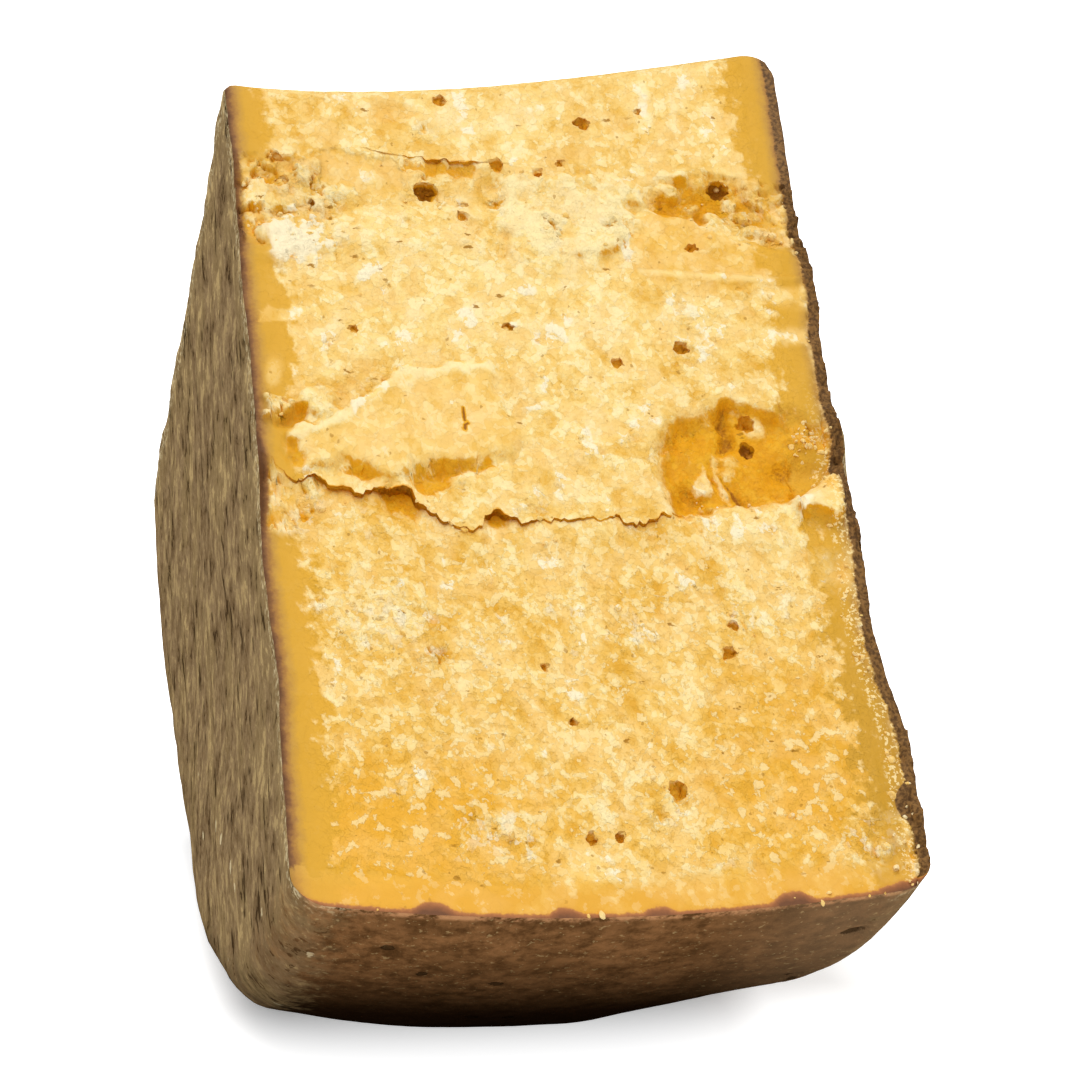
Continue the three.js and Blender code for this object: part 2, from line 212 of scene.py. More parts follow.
FRONT_CUT = {
    "seed": 100,
    "ledges": [
        ledge_line(
            [
                (-61, 17.5), (-39, 16.8), (-33, 16.6), (-24, 19.2), (-9, 20.2), (6, 21.8), (27, 24.2),
                (39, 21.2), (49, 23), (61, 25.6),
            ],
            [
                (-61, 0), (-36, 0.1), (-31, 0.5), (-22, 0.4), (-17, 0.7), (-9, 0.6), (2, 0.2), (26, 0.05),
                (61, 0),
            ],
            teeth=0.5, lip=0.4, gape=0.3,
        ),
        ledge_line(
            [(-61, 50.8), (-42, 46.1), (-10, 44.1), (24, 48.3), (61, 50.6)],
            [(-61, 0), (61, 0)],
            teeth=0.3, lip=0.0, gape=0.0,
        ),
        ledge_line(
            [
                (-61, 95.3), (-52, 100.4), (-46.8, 101.9), (-39, 103.4), (-34.3, 102.4), (-31, 103.4),
                (-27.6, 107.5), (-24.6, 112.1), (-18.3, 113.8), (-15.5, 110.8), (-13.1, 109.8),
                (-10.7, 112.2), (7.6, 112.2), (24.5, 110.4), (38, 112), (46, 115.5), (61, 116.5),
            ],
            [
                (-61, 0.3), (-52, 0.9), (-44, 0.7), (-39, 1.0), (-34, 1.7), (-29, 2.4), (-26, 0.9),
                (-21, 0.5), (-17, 0.5), (-14, 1.6), (-10, 1.0), (-4, 0.4), (2, 0.6), (8, 0.3), (14, 0.7),
                (19, 0.6), (24, 0.25), (28, 0.1), (61, 0),
            ],
            teeth=1.7, lip=0.5, gape=1.0,
        ),
    ],
    "bands": [
        face_band(
            spot(-40, 8, 24, 14, pale=-0.25, warm=0.1),
            spot(-6, 8, 18, 14, pale=0.28, warm=-0.2),
            spot(-25, 7, 6, 3, slope=0.3, rise=-0.6, pale=-0.4, warm=0.3),
            spot(-19, 12.5, 4, 3, 30, slope=0.3, rise=-0.5, pale=0.3, crumble=0.6),
            spot(21, 5, 1.4, 9, pale=0.7),
            spot(31, 3, 1.8, 10, pale=0.7),
            spot(37, 7, 1.2, 9, pale=0.7),
            spot(44, 10, 3, 5, pale=0.4, chalk=0.3),
            level=1.2, crumble=0.05, pale=0.12, warm=0.25, step=0.12,
        ),
        face_band(
            spot(-8, 33, 62, 13, slope=0.9, rise=-1.6),
            spot(-52, 29, 16, 17, slope=0.5, rise=-0.5, crumble=1.0, pale=-0.28, warm=0.15),
            spot(54, 33, 10, 13, slope=0.5, rise=-0.6, crumble=0.9, pale=-0.35, warm=0.4),
            spot(-22, 38, 28, 9, -6, rise=1.3, crumble=0.35, pale=0.2),
            plate(
                (-42, 17.5), (-24.9, 19), (-24.9, 27), (-29.8, 29.2), (-38.2, 27.2), (-42, 24), rise=-0.4,
                edge=1.0, crumble=0.05, pale=-0.4, warm=0.3, plain=0.5,
            ),
            plate(
                (-54.2, 36.5), (-49.3, 33.1), (-43.4, 33.8), (-43, 39.1), (-41, 43.5), (-48.2, 47),
                (-56, 46), rise=1.0, edge=3.0, crumble=0.5, pale=0.46, chalk=0.54, broken=1.0,
            ),
            plate(
                (-25, 19.6), (-21, 19), (-16, 20.5), (-9, 19.8), (-8.5, 22.2), (-13, 22.6), (-16, 23.4),
                (-20, 22.2), (-23.5, 22.8), rise=-1.0, edge=1.6, crumble=0.35, hollow=0.6,
            ),
            spot(-2, 27, 8, 6, rise=-0.9, crumble=0.5, pale=-0.15),
            plate(
                (-4.2, 32.1), (-2.3, 24.6), (5.4, 23.5), (19.1, 24.9), (21.3, 22.5), (27.2, 24.6),
                (28.4, 28.1), (24.5, 32.4), (25, 36.7), (21.8, 41.2), (16, 45.7), (7.2, 46.8), (-1.2, 45),
                (-4, 40.1), rise=1.8, edge=2.6, crumble=0.42, pale=0.6,
            ),
            plate(
                (28.4, 22.8), (33, 21.6), (38.8, 20.6), (44, 21.4), (49, 22.6), (49.5, 28), (46, 33),
                (40.2, 35.4), (35, 33.1), (30, 31), rise=-1.6, edge=3.4, crumble=0.6, pale=-0.4,
                hollow=0.64,
            ),
            spot(31.5, 33, 3, 2.4, 30, slope=0.6, rise=-0.6, hollow=0.66),
            spot(47, 30, 3.4, 2.2, -30, slope=0.6, rise=1.0, hollow=0.15, pale=0.3),
            spot(36, 23.6, 2.8, 1.6, slope=0.6, rise=1.0, hollow=0.2),
            spot(33.5, 27.5, 3.6, 2.6, 20, slope=0.6, rise=1.6, hollow=0.1, pale=0.2),
            spot(38, 31, 2.6, 2, -20, slope=0.6, rise=1.2, hollow=0.2),
            spot(40, 25, 2.4, 1.8, 10, slope=0.6, rise=1.0, hollow=0.3),
            spot(42, 33.5, 2.2, 1.8, slope=0.5, rise=1.4, hollow=0.0, pale=0.5),
            plate(
                (25, 36.9), (29.7, 31.3), (38.5, 36), (46, 41), (57.9, 42.8), (60, 51), (22, 51), rise=1.0,
                edge=1.6, crumble=0.1, pale=-0.45, warm=0.3, plain=0.5,
            ),
            level=0.6, crumble=0.35, pale=0.2, warm=0.12, step=0.5,
        ),
        face_band(
            # A thin pale strip along the top of this band: a painted highlight where the step's edge catches
            # the light.
            plate(
                (23, 48.8), (32, 49.4), (46, 50.4), (58, 50.8), (58, 52.4), (46, 52.2), (32, 51),
                (23, 50.2), rise=0.5, edge=0.8, ragged=0.3, chips=0.2, pale=0.7, plain=0.6,
            ),
            spot(49, 68, 14, 22, pale=-0.1, warm=-0.1),
            plate(
                (48, 52.6), (59.4, 53.4), (59.2, 57.6), (53, 57.2), (48.6, 56), edge=3.0, pale=0.2,
                chalk=0.3, plain=0.5, broken=0.9,
            ),
            plate(
                (47, 64.4), (59.2, 64.8), (59, 67.2), (52, 67.6), (47, 66.6), edge=3.0, pale=0.3,
                chalk=0.4, plain=0.5, broken=0.9,
            ),
            spot(-54, 66, 9, 22, pale=-0.4, crumble=0.0, plain=0.4),
            spot(-40, 79, 13, 8, -25, pale=-0.5, warm=0.1, crumble=0.3),
            plate(
                (-58.6, 58.2), (-50, 58), (-50, 61.4), (-58.4, 61.8), edge=0.6, chips=0.2, pale=0.45,
                chalk=0.35, broken=0.8,
            ),
            spot(-56.4, 74.5, 2.6, 6, 8, slope=0.7, pale=0.5, chalk=0.5, broken=0.7),
            spot(-10, 58, 34, 11, 4, pale=0.15),
            plate(
                (-52.5, 83), (-50.9, 79.2), (-47.1, 78.5), (-44.3, 81.4), (-44.1, 84.6), (-48, 87),
                rise=1.5, edge=1.6, crumble=0.4, pale=0.45, broken=1.0,
            ),
            plate(
                (-58.8, 81.4), (-55.1, 80.7), (-52.6, 82.9), (-54.5, 86.1), (-58, 86.5), rise=1.2,
                edge=1.6, crumble=0.8, pale=0.3,
            ),
            plate(
                (-28, 105), (-24.6, 102), (-20.1, 99.7), (-15.1, 98), (-10.5, 99), (-4, 95), (8, 93),
                (19, 90), (21.6, 96), (22, 101), (23.6, 107), (25, 120), (-30, 120), rise=0.7, edge=1.4,
                crumble=0.25, pale=-0.06, warm=0.1,
            ),
            plate(
                (-56, 95.5), (-55.4, 90.2), (-51.6, 88.8), (-43.9, 85.1), (-35.4, 79), (-31.1, 75.8),
                (-21.3, 74), (-11.2, 73.3), (-9.8, 79.5), (-9, 85.3), (-5.6, 94.1), (-11.2, 96.3),
                (-19.8, 98.7), (-26.9, 98.1), (-32.2, 100), (-37.3, 100.5), (-44, 97.3), (-50, 98.2),
                (-52.7, 99.4), rise=1.5, edge=1.1, crumble=0.02, pale=-0.2, warm=0.12, plain=0.55,
                broken=0.9,
            ),
            # A pale strip along the flake's upper edge: a painted highlight where the edge catches the light.
            plate(
                (-55, 91), (-51.6, 88.8), (-43.9, 85.1), (-35.4, 79), (-31.1, 75.8), (-21.3, 74),
                (-11.2, 73.3), (-10.6, 75.6), (-21, 76.4), (-30.4, 78.6), (-34.6, 82), (-43, 87.8),
                (-50.6, 91.4), (-54, 93), rise=0.6, edge=1.2, chips=0.3, pale=0.95, plain=0.6,
            ),
            # A thin crack, with painted dark shade in it.
            plate(
                (-18.1, 84), (-17.2, 84.2), (-17.4, 87), (-17.7, 90), (-18.8, 89.8), (-18.3, 87),
                rise=-1.2, edge=0.5, chips=0.1, hollow=1.6,
            ),
            plate(
                (-45, 98.5), (-41.7, 97.1), (-38.6, 98.1), (-36.8, 100.3), (-41.5, 101.2), rise=-1.3,
                edge=1.4, hollow=0.7,
            ),
            plate(
                (-31.6, 100.1), (-26.9, 98.1), (-20.8, 98.7), (-15.4, 96.3), (-11.3, 97.3), (-13.6, 98.7),
                (-18.9, 100.1), (-23.3, 103), (-27.5, 104.4), rise=-1.6, edge=1.8, hollow=0.65,
            ),
            plate(
                (-56, 92), (-52.7, 92.2), (-52.2, 95.6), (-52.7, 99), (-56, 97.5), rise=-1.4, edge=1.4,
                hollow=0.6,
            ),
            plate(
                (-56, 85.3), (-52, 83.6), (-50.8, 85.8), (-53.2, 88.4), (-56, 88), rise=-1.7, edge=1.8,
                hollow=0.75,
            ),
            plate(
                (22.3, 93), (24, 88.1), (28.3, 86.8), (32.1, 85.7), (37.8, 83.3), (45.4, 85.1), (54, 86.2),
                (58, 89), (61, 96), (56, 103), (50.2, 106.7), (43.3, 107.3), (37.4, 107.2), (33.1, 108.5),
                (28.3, 109), (24.2, 108.8), (22.4, 103), (21.7, 98.9), rise=-3.2, edge=5.0, ragged=0.5,
                crumble=0.3, pale=-0.3, warm=0.2, hollow=0.68, plain=0.3,
            ),
            # Two deeper bowls in the pit, with more painted shade.
            spot(27.4, 105, 6, 5, -30, slope=0.8, rise=-1.2, hollow=0.85),
            spot(51, 98.4, 9, 4, -6, slope=0.8, rise=-1.6, hollow=0.94),
            # A fold down the pit, with painted dark shade in its crease.
            plate(
                (36.4, 83), (38.2, 83), (38.6, 88), (38.3, 92), (36.4, 93.6), (34.2, 97), (33.9, 99.6),
                (34.6, 102.3), (36.4, 105.8), (34.9, 106.4), (32.8, 102.8), (32.1, 99.2), (32.5, 95.8),
                (35.6, 92), (36.5, 88), rise=-2.0, edge=1.6, chips=0.3, hollow=1.0,
            ),
            plate(
                (35.1, 99), (36.6, 101.4), (37.7, 103.6), (38.8, 105.4), (37.2, 106), (36, 104),
                (34.6, 101), rise=-1.6, edge=1.2, chips=0.3, hollow=1.2,
            ),
            plate(
                (33.3, 94.1), (35.4, 93.9), (34.8, 97.6), (35.2, 101.7), (35.2, 105.8), (34.3, 105.8),
                (33.4, 102.1), (32.8, 97.6), rise=1.6, edge=1.6, chips=0.3, hollow=0.2, pale=0.25,
            ),
            plate(
                (36.1, 94.8), (38.9, 94.2), (39.7, 97), (38.7, 99.7), (36.9, 101.4), (35.6, 99.7),
                rise=1.0, edge=2.0, hollow=0.3, pale=0.1,
            ),
            plate(
                (31, 98.6), (31.7, 102.1), (31.4, 104.5), (29, 104.8), (28.7, 102), rise=1.3, edge=1.2,
                chips=0.3, hollow=0.1, pale=0.2,
            ),
            spot(43.2, 87.6, 3.4, 3, slope=0.6, rise=0.5, hollow=0.1, pale=0.6),
            spot(54.5, 90, 7, 5.5, 10, slope=0.8, rise=0.8, crumble=0.8, pale=0.2, hollow=0.5, litter=6.0),
            plate(
                (48.2, 106.7), (52.9, 104.8), (54.7, 103.1), (57.6, 100.4), (59, 102.1), (59.8, 106.6),
                (58.3, 110.3), (56.3, 113.4), (54.5, 111.7), (52.3, 110.3), (50.4, 111.3), (48.9, 109.6),
                rise=3.4, edge=1.4, ragged=0.3, chips=0.3, crumble=0.05, pale=0.5, hollow=0.0, plain=0.5,
                broken=1.0,
            ),
            plate(
                (54.6, 104.4), (58, 101.6), (60.4, 106), (58.4, 108.6), (56.2, 107), rise=-0.7, edge=1.2,
                chips=0.3, pale=-0.5, warm=0.3,
            ),
            level=1.2, crumble=0.14, pale=0.22, warm=0.1, step=0.3,
        ),
        face_band(
            spot(-10, 112, 62, 11, 4, slope=0.8, rise=0.9),
            spot(-42, 108, 22, 9, 18, rise=-0.5, pale=-0.2, crumble=0.3),
            spot(-56, 105, 9, 11, slope=0.4, crumble=1.0, pale=0.0),
            plate(
                (-38, 101), (-28, 101), (-27.6, 107.8), (-31.1, 109.6), (-34.8, 106.5), rise=-2.0,
                edge=4.0, hollow=0.8,
            ),
            spot(-13.4, 110.5, 3, 3, rise=-1.6, hollow=0.8),
            spot(-36, 182, 34, 24, -8, pale=-0.6, warm=0.95, crumble=0.0),
            spot(40, 170, 28, 32, pale=-0.45, warm=0.5),
            spot(-44, 128, 13, 17, pale=0.25, crumble=0.4),
            spot(6, 176, 14, 14, pale=0.12, crumble=0.4),
            spot(56, 120, 9, 11, slope=0.7, pale=0.1, warm=0.1, broken=0.95),
            spot(52, 117, 1.8, 2.4, slope=0.6, rise=-0.5, hollow=0.6),
            spot(-37, 134, 14, 10, slope=0.7, pale=0.3, chalk=0.12, crumble=0.5),
            spot(40, 133, 14, 8, slope=0.7, pale=0.3, chalk=0.15, crumble=0.45),
            spot(-37, 170, 8, 6, 10, slope=0.7, pale=0.6, chalk=0.3, crumble=0.4),
            spot(-21, 182, 15, 10, 8, slope=0.7, pale=0.45, chalk=0.1, warm=-0.3, crumble=0.5),
            spot(-5, 189, 6, 8, slope=0.7, pale=0.45, plain=0.5),
            spot(38, 175, 5, 9, 10, pale=-0.3, warm=0.5),
            spot(-30, 142, 6, 3, -10, slope=0.5, rise=-0.6, crumble=0.7, hollow=0.3),
            spot(36, 130, 18, 12, pale=0.1, crumble=0.35),
            spot(54, 186, 14, 14, pale=0.45, warm=-0.3, crumble=0.6, rise=-0.4),
            level=0.0, crumble=0.14, pale=-0.1, warm=0.35, step=0.22,
        ),
    ],
}

# The back cut, broken in the same way along other lines
BACK_CUT = {
    "seed": 200,
    "ledges": [
        ledge_line(
            [(-61, 34), (-30, 30), (4, 37), (31, 33), (61, 41)],
            [(-61, 0.2), (-20, 1.6), (30, 1.8), (61, 0.2)],
            teeth=0.7, lip=0.8, gape=0.3,
        ),
        ledge_line(
            [(-61, 66), (-20, 74), (16, 69), (61, 63)],
            [(-61, 0), (61, 0)],
            teeth=0.5, lip=-0.6, gape=0.0,
        ),
        ledge_line(
            [(-61, 126), (-34, 131), (-6, 120), (22, 117), (40, 124), (61, 121)],
            [(-61, 0.4), (-30, 2.2), (10, 3), (40, 1.4), (61, 0.3)],
            teeth=0.9, lip=1.2, gape=0.8,
        ),
    ],
    "bands": [
        face_band(
            spot(18, 14, 12, 9, rise=-0.5, pale=0.3, crumble=0.4),
            spot(-40, 12, 22, 14, pale=-0.3),
            level=0.6, crumble=0.08, pale=0.05, warm=0.3, step=0.15,
        ),
        face_band(
            plate(
                (-52, 50), (-47, 42), (-38, 39), (-30, 43), (-20, 40), (-8, 44), (-3, 51), (-10, 57),
                (-22, 57), (-30, 63), (-44, 61), (-50, 57), rise=-3.0, edge=5.0, ragged=1.0, crumble=0.8,
                pale=-0.3, hollow=0.5,
            ),
            # A fold in the pit, with painted dark shade in its crease.
            plate(
                (-38, 42), (-35.6, 42), (-34.6, 48), (-31, 53), (-27, 58), (-29, 59), (-33.6, 54),
                (-36.6, 48.6), rise=-1.2, edge=1.6, chips=0.3, hollow=1.0,
            ),
            plate(
                (-22, 46), (-14, 45), (-10, 50), (-14, 55), (-20, 53), rise=1.4, edge=1.6, chips=0.3,
                hollow=0.15, pale=0.3,
            ),
            spot(-43, 54, 5, 4, 20, slope=0.7, rise=1.1, hollow=0.2, pale=0.2),
            plate(
                (0, 50), (10, 44), (30, 42), (50, 47), (54, 56), (38, 63), (12, 62), (2, 57), rise=1.7,
                edge=1.4, crumble=0.45, pale=0.4,
            ),
            spot(52, 48, 10, 9, crumble=0.9),
            level=-0.8, crumble=0.5, pale=0.2, warm=0.15, step=0.5,
        ),
        face_band(
            plate(
                (2, 101), (10, 92), (26, 89), (44, 93), (54, 102), (46, 114), (30, 119), (12, 116),
                rise=2.4, edge=1.2, crumble=0.06, pale=-0.05,
            ),
            spot(28, 92, 22, 3, 6, slope=0.8, pale=0.5),
            plate(
                (-52, 118), (-44, 108), (-26, 105), (-8, 109), (-3, 118), (-8, 132), (-50, 138), rise=2.2,
                edge=1.4, crumble=0.2, pale=0.1,
            ),
            plate(
                (-58, 92), (-53, 84), (-45, 81.6), (-36, 84), (-30.6, 90), (-32, 97.6), (-39, 102),
                (-49, 101.4), (-56, 98), rise=-3.0, edge=5.0, ragged=1.0, crumble=0.7, pale=-0.2,
                hollow=0.4,
            ),
            # A fold in the pit, with painted dark shade in its crease.
            plate(
                (-48, 83), (-46, 83), (-45, 89), (-42, 94), (-40, 100), (-42, 100), (-45.4, 94.6),
                (-47.6, 89), rise=-1.2, edge=1.6, chips=0.3, hollow=1.0,
            ),
            plate(
                (-38, 89), (-34, 90), (-35, 95.6), (-38.6, 96.4), (-40, 92), rise=1.3, edge=1.4, chips=0.3,
                hollow=0.15, pale=0.25,
            ),
            level=0.6, crumble=0.18, pale=0.22, warm=0.2, step=0.3,
        ),
        face_band(
            spot(30, 129, 26, 8, rise=-1.3, pale=-0.3, crumble=0.3),
            spot(34, 182, 34, 24, 8, pale=-0.45, warm=0.4),
            spot(-30, 160, 24, 20, pale=0.2, crumble=0.35),
            level=0.0, crumble=0.14, pale=0.0, warm=0.45, step=0.22,
        ),
    ],
}

TOOTH_LUMPS = ((6.0, 0.5), (1.0, 0.3))
TOOTH_CHIPS = ((3.4, 1.2), (1.4, 0.9))
RAGGED = ((4.0, 1.0), (1.8, 0.75))
CHIP_SIZE = 2.2
CHIP_DEPTH = 1.5
COARSE_GRAIN = 3.2
FINE_GRAIN = 1.5
GRAIN_BEND = 0.9
FLAKE_WIDTH = 2.6
FLAKE_LENGTH = 5.0
FLAKE_LEAN = 0.08
LEAN_START = 105.0
CLEAN_STRIP = 8.0
JOIN_REACHES = (2.0, 8.0)
JOIN_SPREAD = 7
# How a part looks, from about 0 to 1: pale and warm shift the band's own look, and the others replace it
# The look that makes hollows amber is partly the paste's own amber in pits and grooves and partly painted
# shade in cracks, folds, creases and under ledge lips.
LOOKS = ("crumble", "pale", "warm", "hollow", "chalk", "plain", "litter", "broken")
SHIFTED_LOOKS = ("pale", "warm")
LIP_LITTER = 2.5
LIP_GAP = 0.3
COLUMN_CROWDING = 0.2
COVER_POWER = 12
STEP_UNDERCUT = (0.15, 0.8)
FULL_UNDERCUT = 1.6
PATCH_SIZE = 11.0
STRIP_LUMP = 5.0
STRIP_WANDER = 2.5
CLUSTER_WIDTH = 5.0
CLUSTER_LENGTH = 6.0
BROAD_FLAKE_WIDTH = 9.0
BROAD_FLAKE_LENGTH = 15.0
BEND_LUMP = 1.7
PASTE_LUMP = 4.0
PASTE_LUMP_HEIGHT = 0.12
COARSE_STEP = 1.9
FINE_STEP = 1.0
GRAIN_DOME = 0.3
GRAIN_MIDDLE = 0.45


def granules(x, y, seed):
    """Broken curd, one grain to a unit: distance to the nearest grain's middle, and its own chance."""
    x, y = np.broadcast_arrays(np.asarray(x, float), np.asarray(y, float))
    column, row = np.floor(x), np.floor(y)
    nearest = np.full(x.shape, 9.0)
    own = np.zeros(x.shape)
    for right in (-1, 0, 1):
        for down in (-1, 0, 1):
            i, j = column + right, row + down
            gap = np.hypot(i + chance(i, j, seed) - x, j + chance(i, j, seed + 1) - y)
            closer = gap < nearest
            own = np.where(closer, chance(i, j, seed + 2), own)
            nearest = np.where(closer, gap, nearest)
    return nearest, own


def inside_depth(outline, x, y):
    """Distance to a closed outline, positive inside it."""
    nearest = np.full(x.shape, 1e9)
    crossings = np.zeros(x.shape, int)
    for (x0, y0), (x1, y1) in zip(outline, outline[1:] + outline[:1]):
        wide, far = x1 - x0, y1 - y0
        along = np.clip(((x - x0) * wide + (y - y0) * far) / (wide**2 + far**2), 0, 1)
        nearest = np.minimum(nearest, np.hypot(x - x0 - along * wide, y - y0 - along * far))
        if y0 != y1:
            spans = (y0 > y) != (y1 > y)
            crossings += spans & (x < x0 + (y - y0) / far * wide)
    return np.where(crossings % 2 == 1, nearest, -nearest)


def ledge_distance(cut, index, across):
    """Where a ledge lies at a place across the face: its line, with teeth."""
    ledge = cut["ledges"][index]
    line = np.array(ledge["line"], float)
    teeth = sum(
        height * lumps(across / size, index + 0.5, cut["seed"] + layer)
        for layer, (size, height) in enumerate(TOOTH_LUMPS)
    )
    for layer, (size, height) in enumerate(TOOTH_CHIPS):
        chip = np.floor(across / size + teeth)
        teeth = teeth + height * (chance(chip, np.full(across.shape, index), cut["seed"] + layer) - 0.5)
    return np.interp(across, line[:, 0], line[:, 1]) + ledge["teeth"] * teeth


def part_share(part, across, distance, chip):
    """How much of a part there is at a place, from 0 outside it to 1 inside."""
    if "oval" in part:
        at, half, turn = part["oval"]
        return oval(across, distance, at, half, turn, part.get("slope", 0.6))
    x, y = across, distance
    for layer, (size, height) in enumerate(RAGGED):
        reach = height * part.get("ragged", 1.0)
        x = x + reach * lumps(across / size, distance / size, 80 + layer)
        y = y + reach * lumps(across / size, distance / size, 90 + layer)
    half_edge = part["edge"] / 2
    depth = inside_depth(part["outline"], x, y) + CHIP_DEPTH * chip * part.get("chips", 1.0)
    return ease(depth, -half_edge, half_edge)


def band_surface(cut, index, across, distance):
    """How far a band stands out from the knife's plane, and how its paste looks there."""
    band, seed = cut["bands"][index], cut["seed"]
    height = np.full(across.shape, band["level"])
    look = {name: np.full(across.shape, band.get(name, 0.0)) for name in LOOKS}
    look["crumble"] = look["crumble"] + 0.25 * rough(across / PATCH_SIZE, distance / PATCH_SIZE, seed + 20)
    chip = granules(across / CHIP_SIZE, distance / CHIP_SIZE, seed + 60)[1] - 0.5
    for part in band["parts"]:
        share = part_share(part, across, distance, chip)
        height = height + part.get("rise", 0.0) * share
        for name in LOOKS:
            if name in SHIFTED_LOOKS:
                look[name] = look[name] + part.get(name, 0.0) * share
            elif name in part:
                look[name] = look[name] + (part[name] - look[name]) * share

    # A clean strip under the rind, clusters of crumbs, and the ragged edge at the right
    rind_near = np.minimum(HALF_HEIGHT - np.abs(across), rim_distance(across) - distance)
    rind_near = rind_near + STRIP_WANDER * rough(across / STRIP_LUMP, distance / STRIP_LUMP, seed + 22, 3)
    clean = 1 - ease(rind_near, CLEAN_STRIP - 2, CLEAN_STRIP + 1)
    cluster = rough(across / CLUSTER_WIDTH, distance / CLUSTER_LENGTH, seed + 24, 3)
    cluster = ease(cluster, 0.25, 0.45) * (1 - clean)
    ragged_edge = ease(HALF_HEIGHT - across, 5, 2) * ease(distance, 14, 30)
    crumble = np.clip(look["crumble"] + 0.3 * cluster + 0.6 * ragged_edge, 0, 1)

    # Flakes, small and broad, that lean over towards the rim
    lean = across - FLAKE_LEAN * np.maximum(distance - LEAN_START, 0)
    small_flakes = rough(lean / FLAKE_WIDTH, distance / FLAKE_LENGTH, seed + 25, 3)
    broad_flakes = rough(lean / BROAD_FLAKE_WIDTH, distance / BROAD_FLAKE_LENGTH, seed + 28, 2)
    flakes = 0.42 * small_flakes + 0.22 * broad_flakes
    look["plain"] = np.maximum(look["plain"], 0.7 * clean * (1 - crumble))
    flakes = flakes * (1 - 0.6 * look["plain"])
    pale = look["pale"] + flakes + 0.15 * cluster - 0.6 * clean * (1 - crumble)

    # Grains of broken curd, coarse and fine, each at a height of its own
    bent_across, bent_distance = (
        place + GRAIN_BEND * rough(across / BEND_LUMP, distance / BEND_LUMP, seed + turn, 2)
        for place, turn in ((across, 52), (distance, 54))
    )
    middle, own = granules(bent_across / COARSE_GRAIN, bent_distance / COARSE_GRAIN, seed + 30)
    fine_middle, fine_own = granules(bent_across / FINE_GRAIN, bent_distance / FINE_GRAIN, seed + 40)
    grain = COARSE_STEP * (own - 0.5) + GRAIN_DOME * (GRAIN_MIDDLE - middle)
    grain = grain + FINE_STEP * (fine_own - 0.5) + GRAIN_DOME * (GRAIN_MIDDLE - fine_middle)
    height = height + crumble**1.3 * grain + band["step"] * ease(flakes, -0.3, 0.3)
    height = height + PASTE_LUMP_HEIGHT * rough(across / PASTE_LUMP, distance / PASTE_LUMP, seed + 50)
    # Low grains between the crumbs get painted amber shade.
    look["hollow"] = np.maximum(look["hollow"], 0.5 * crumble * ease(-grain, 0.1, 0.9))
    look["pale"] = pale + 0.5 * crumble * grain
    loosened = np.maximum(ease(crumble, 0.4, 0.95), ease(look["chalk"], 0.2, 0.7))
    look["broken"] = np.maximum(look["broken"], loosened)
    look["chalk"] = np.maximum(look["chalk"], 0.35 * cluster * ease(crumble, 0.75, 0.45))
    look["crumble"] = crumble
    return height, look


def soften(field, reach):
    """A field averaged over its neighbours, along both of its axes."""
    for axis in (0, 1):
        edges = [(reach, reach) if axis == side else (0, 0) for side in (0, 1)]
        padded = np.pad(field, edges, mode="edge")
        steps = np.arange(field.shape[axis])
        field = sum(np.take(padded, steps + k, axis) for k in range(2 * reach + 1)) / (2 * reach + 1)
    return field


def spread(line):
    """A line of values across the face, evened out over its neighbours."""
    return soften(line[None], JOIN_SPREAD)[0]


